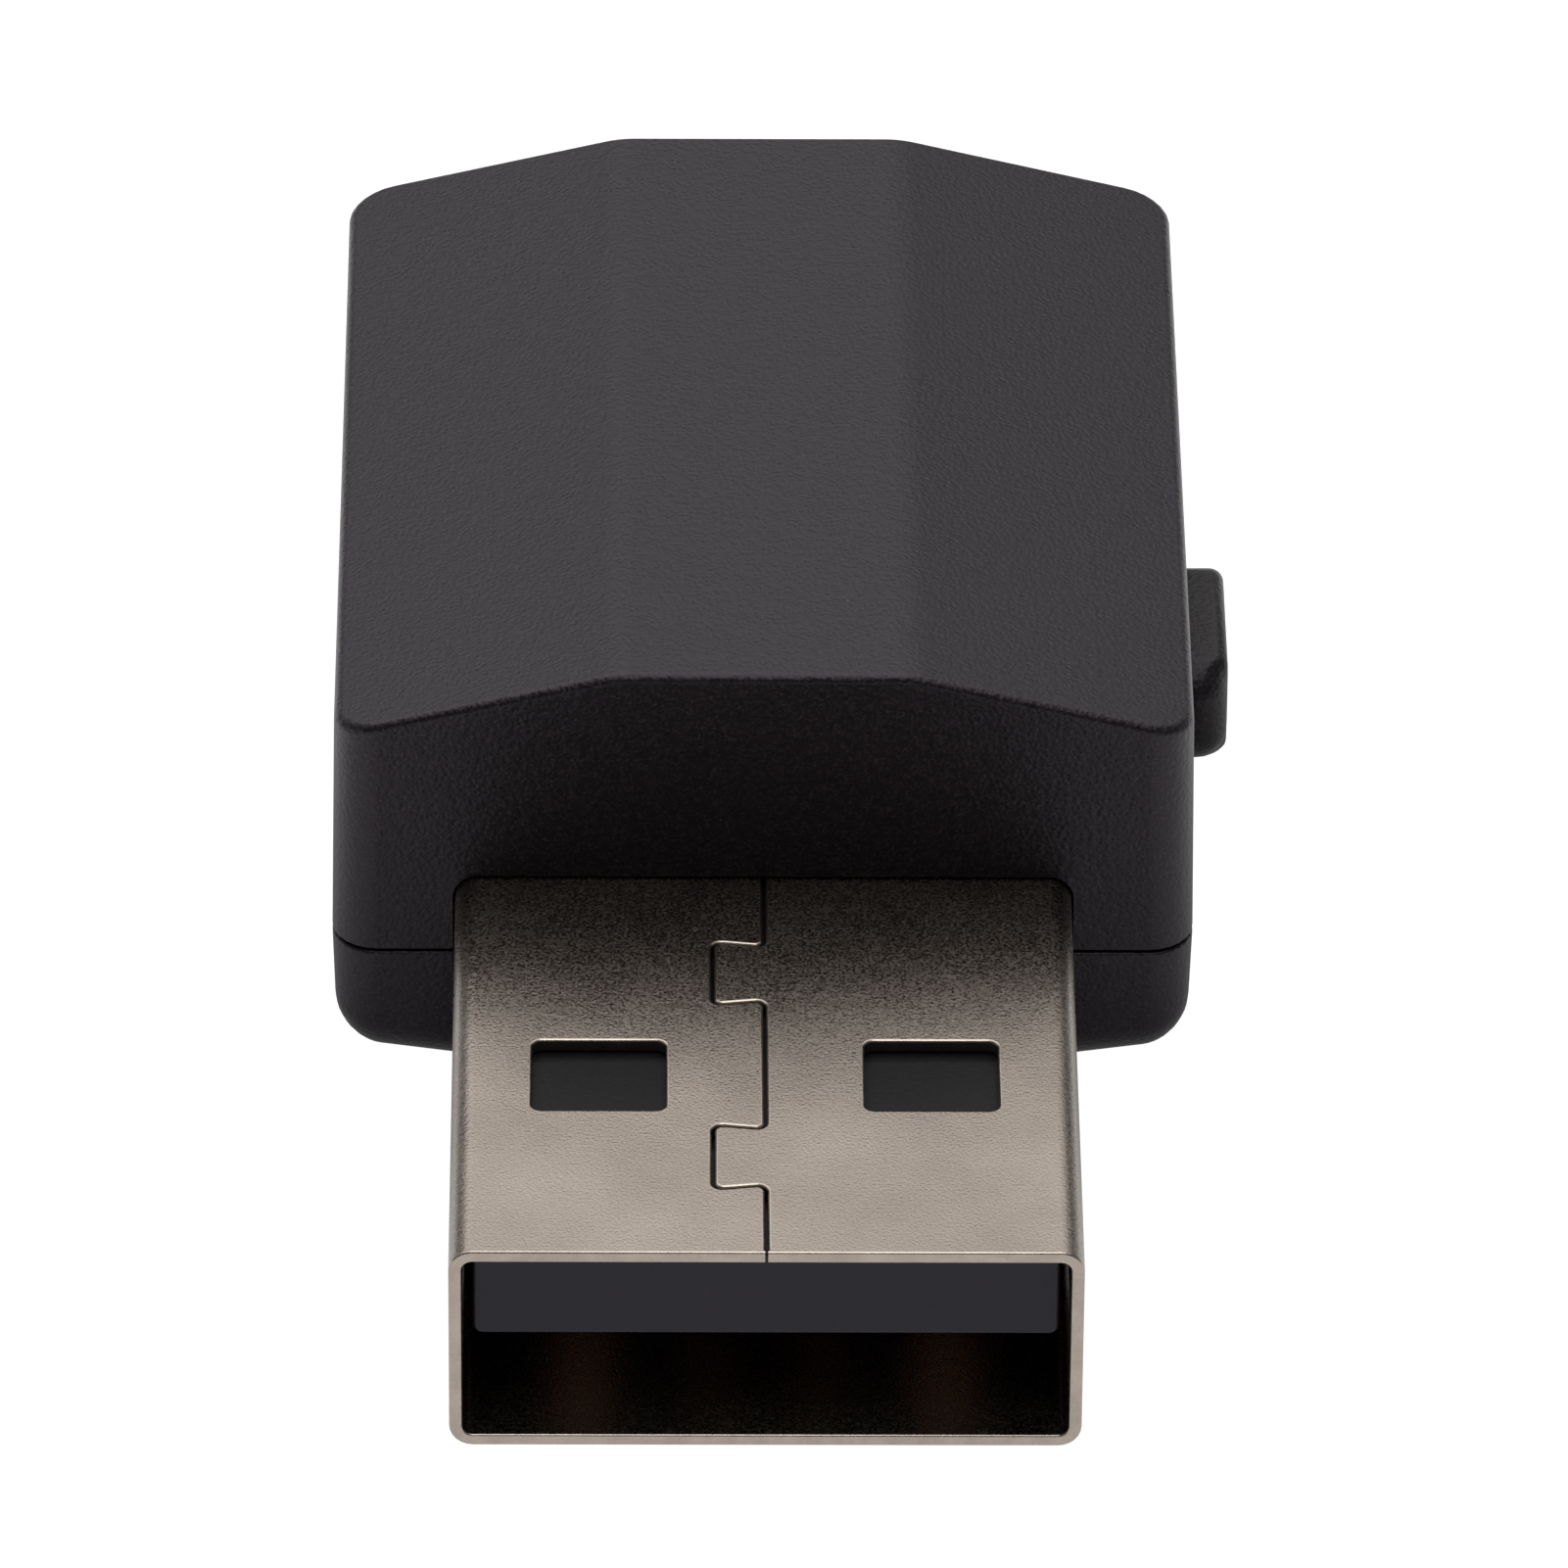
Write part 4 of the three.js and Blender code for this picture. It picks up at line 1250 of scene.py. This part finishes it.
    def build_insides(self) -> None:
        """Makes the tongue with its base, and the four contacts."""
        contacts = {}
        for node in ("contact_vbus", "contact_data_minus", "contact_data_plus", "contact_ground"):
            room = Room.of(node)
            contacts[node] = (room.middle.x, room.low.y - self.tip)
        middle = (self.tongue_top + self.tongue_bottom) / 2
        section = moved(rounded(self.tongue_half_width, self.tongue_thickness / 2,
                                self.corner - self.wall), 0.0, middle)
        tongue = Solid.sweep(section, Axis.FORWARD, -self.rear, -self.tip - self.tongue_recess,
                             self.tongue_edge)
        base = Solid.sweep(self._bore(self.fit), Axis.FORWARD, -self.rear, -self.tip - self.mating_depth,
                           self.tongue_edge)
        tongue.act(Boolean.JOIN, base)
        tongue.act(Boolean.CUT, *(self._contact(*where, self.fit / 2) for where in contacts.values()))
        # The tongue's up-facing faces take the darker copy of its plastic, which is painted shade.
        tongue.deliver("plug_tongue", "housing", TONGUE_PLASTIC, "plug_insulator", second=TONGUE_TOP_PAINTED_SHADE,
                       where=lambda middle, normal: normal.z > self.facing_up)
        for node, where in contacts.items():
            blade = self._contact(*where).soften(self.contact_edge, least=20)
            blade.deliver(f"{node}_blade", "housing", GOLD, node)


# ---------------------------------------------------------------- circuit board


@dataclass
class Electronics:
    """The circuit board and what is soldered to it."""

    board_edge: float = 0.04
    sheet_edge: float = 0.05
    package_edge: float = 0.05
    chip_edge: float = 0.03

    def build(self) -> None:
        """Makes every piece on the board."""
        parts: list[tuple[str, Finish, float]] = [
            ("circuit_board", BOARD, self.board_edge), ("rf_shield", TIN, self.sheet_edge),
            ("antenna", COPPER_ALLOY, self.sheet_edge), ("crystal", TIN, self.package_edge),
            ("power_inductor", FERRITE, self.package_edge),
        ]
        parts += [(node, MOULDING, self.package_edge) for node in (
            "wifi_chip", "rf_front_end", "memory_chip", "voltage_regulator", "surge_protector")]
        parts += [(f"capacitor_{index}", CERAMIC, self.chip_edge) for index in range(1, 5)]
        parts += [(f"resistor_{index}", MOULDING, self.chip_edge) for index in range(1, 4)]
        for node, finish, edge in parts:
            Solid.copy_of(node).soften(edge).deliver(f"{node}_part", "housing", finish, node)


@dataclass
class Switch:
    """The push switch behind the button."""

    edge: float = 0.03

    def build(self) -> None:
        """Makes the switch's four pieces."""
        parts = (
            ("switch_housing", SWITCH_PLASTIC, "housing"), ("switch_cover", TIN, "housing"),
            ("switch_dome", SPRING_STEEL, "housing"), ("switch_plunger", MOULDING, "plunger"),
        )
        for node, finish, body in parts:
            Solid.copy_of(node).soften(self.edge).deliver(f"{node}_part", body, finish, node)


# ---------------------------------------------------------------- studio


@dataclass
class Studio:
    """A pale table, soft light from behind and above, and the camera."""

    table_radius: float = 4.0
    table_glow: float = 1.0
    table_far: float = 1.25
    # Strength of the table's glow inside the painted shadow near the adapter.
    table_painted_shadow: float = 0.30
    table_white: float = 0.15
    cloud_size: float = 40.0
    oval: Place = (0.11, 0.094, 0.0)
    oval_turn: tuple[float, float] = (1.3, 2.1)
    behind: float = 0.24
    ahead: float = 0.07
    back_way: Place = (0.0, 0.85, 0.53)
    back_turn: tuple[float, float] = (-0.35, 0.75)
    panel: float = 2.9
    panel_way: Place = (0.0, 0.5, 0.87)
    panel_turn: tuple[float, float] = (0.74, 0.94)
    left_bias: float = 0.6
    side_gain: float = 2.2
    fill_place: Place = (0.03, -0.13, 0.475)
    fill_size: tuple[float, float] = (0.16, 0.42)
    fill_power: float = 1.25
    camera_place: Place = (-0.002377, -0.265132, 0.177873)
    camera_right: Place = (0.999957, -0.006245, 0.006863)
    camera_up: Place = (-0.002234, 0.555795, 0.831316)
    lens: float = 363.28

    def build_table(self) -> None:
        """Makes the round table top that the adapter lies on. It glows: pure white as the camera sees it,
        and dimmer near the adapter in the light that it gives the adapter, which is a painted shadow.
        """
        work = bmesh.new()
        bmesh.ops.create_circle(work, cap_ends=True, segments=96, radius=self.table_radius)
        mesh = bpy.data.meshes.new("table")
        work.to_mesh(mesh)
        work.free()
        table = placed("table", mesh)
        material = bpy.data.materials.new("pale_table")
        tree = Tree(material)
        where = tree.place()
        dim = (self.table_white,) * 3
        clouds = tree.mix(tree.noise(where, self.cloud_size), dim, tuple(c * 1.02 for c in dim))
        # Painted shadow: the glow that lights the adapter is dimmer within an oval round it.
        outside_painted_shadow = (where * self.oval).length().between(*self.oval_turn)
        glow_with_painted_shadow = tree.mix(outside_painted_shadow, (self.table_painted_shadow,) * 3, (self.table_far,) * 3)
        seen = tree.signal("ShaderNodeLightPath", output="Is Camera Ray")
        tree.surface({
            "Base Color": clouds, "Roughness": 0.8, "Specular IOR Level": 0.1,
            "Emission Strength": self.table_glow,
            "Emission Color": tree.mix(seen, glow_with_painted_shadow, (1.0, 1.0, 1.0))})
        mesh.materials.append(material)

    def build_light(self) -> None:
        """Makes the soft light all round."""
        world = bpy.data.worlds.new("studio")
        bpy.context.scene.world = world
        tree = Tree(world)
        way = tree.signal("ShaderNodeTexCoord", output="Generated")
        back = way.dot(self.back_way).between(*self.back_turn)
        across = way.dot((1.0, 0.0, 0.0))
        side = 1 - across * self.left_bias + across * across * self.side_gain
        panel = way.dot(self.panel_way).between(*self.panel_turn)
        glow = (self.ahead + back * (self.behind - self.ahead) + panel * self.panel) * side
        seen = tree.signal("ShaderNodeLightPath", output="Is Camera Ray")
        light = tree.signal("ShaderNodeBackground", {}, {"Strength": glow})
        wall = tree.signal("ShaderNodeBackground", {}, {"Strength": 1.0, "Color": (1.0, 1.0, 1.0)})
        mixed = tree.signal("ShaderNodeMixShader", {}, {0: seen, 1: light, 2: wall})
        tree.add("ShaderNodeOutputWorld", {}, {"Surface": mixed})

    def build_fill(self) -> None:
        """Makes the small lamp, high in front, that draws the light lines on the front edges."""
        data = bpy.data.lights.new("fill_lamp", "AREA")
        data.shape, data.energy = "RECTANGLE", self.fill_power
        data.size, data.size_y = self.fill_size
        lamp = placed("fill_lamp", data)
        lamp.location = self.fill_place
        lamp.rotation_mode = "QUATERNION"
        lamp.rotation_quaternion = Vector(self.fill_place).to_track_quat("Z", "Y")
        lamp.visible_camera = False

    def build_camera(self) -> None:
        """Places the camera."""
        data = bpy.data.cameras.new("camera")
        data.lens, data.sensor_width, data.clip_start, data.clip_end = self.lens, 36.0, 0.01, 20.0
        camera = placed("camera", data)
        right, up = Vector(self.camera_right), Vector(self.camera_up)
        turn = Matrix((right, up, right.cross(up))).transposed()
        camera.matrix_world = Matrix.Translation(self.camera_place) @ turn.to_4x4()
        bpy.context.scene.camera = camera
        bpy.context.scene.view_settings.view_transform = "Standard"


def main() -> None:
    """Builds the adapter around its frame."""
    logging.basicConfig(level=logging.INFO, format="%(name)s %(message)s")
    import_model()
    studio = Studio()
    studio.build_camera()
    studio.build_light()
    studio.build_fill()
    studio.build_table()
    housing, button, plug = Housing(), Button(), Plug()
    housing.build_upper(plug, button)
    housing.build_lower(plug, button)
    button.build()
    plug.build_shell()
    plug.build_insides()
    Electronics().build()
    Switch().build()


if __name__ == "__main__":
    main()
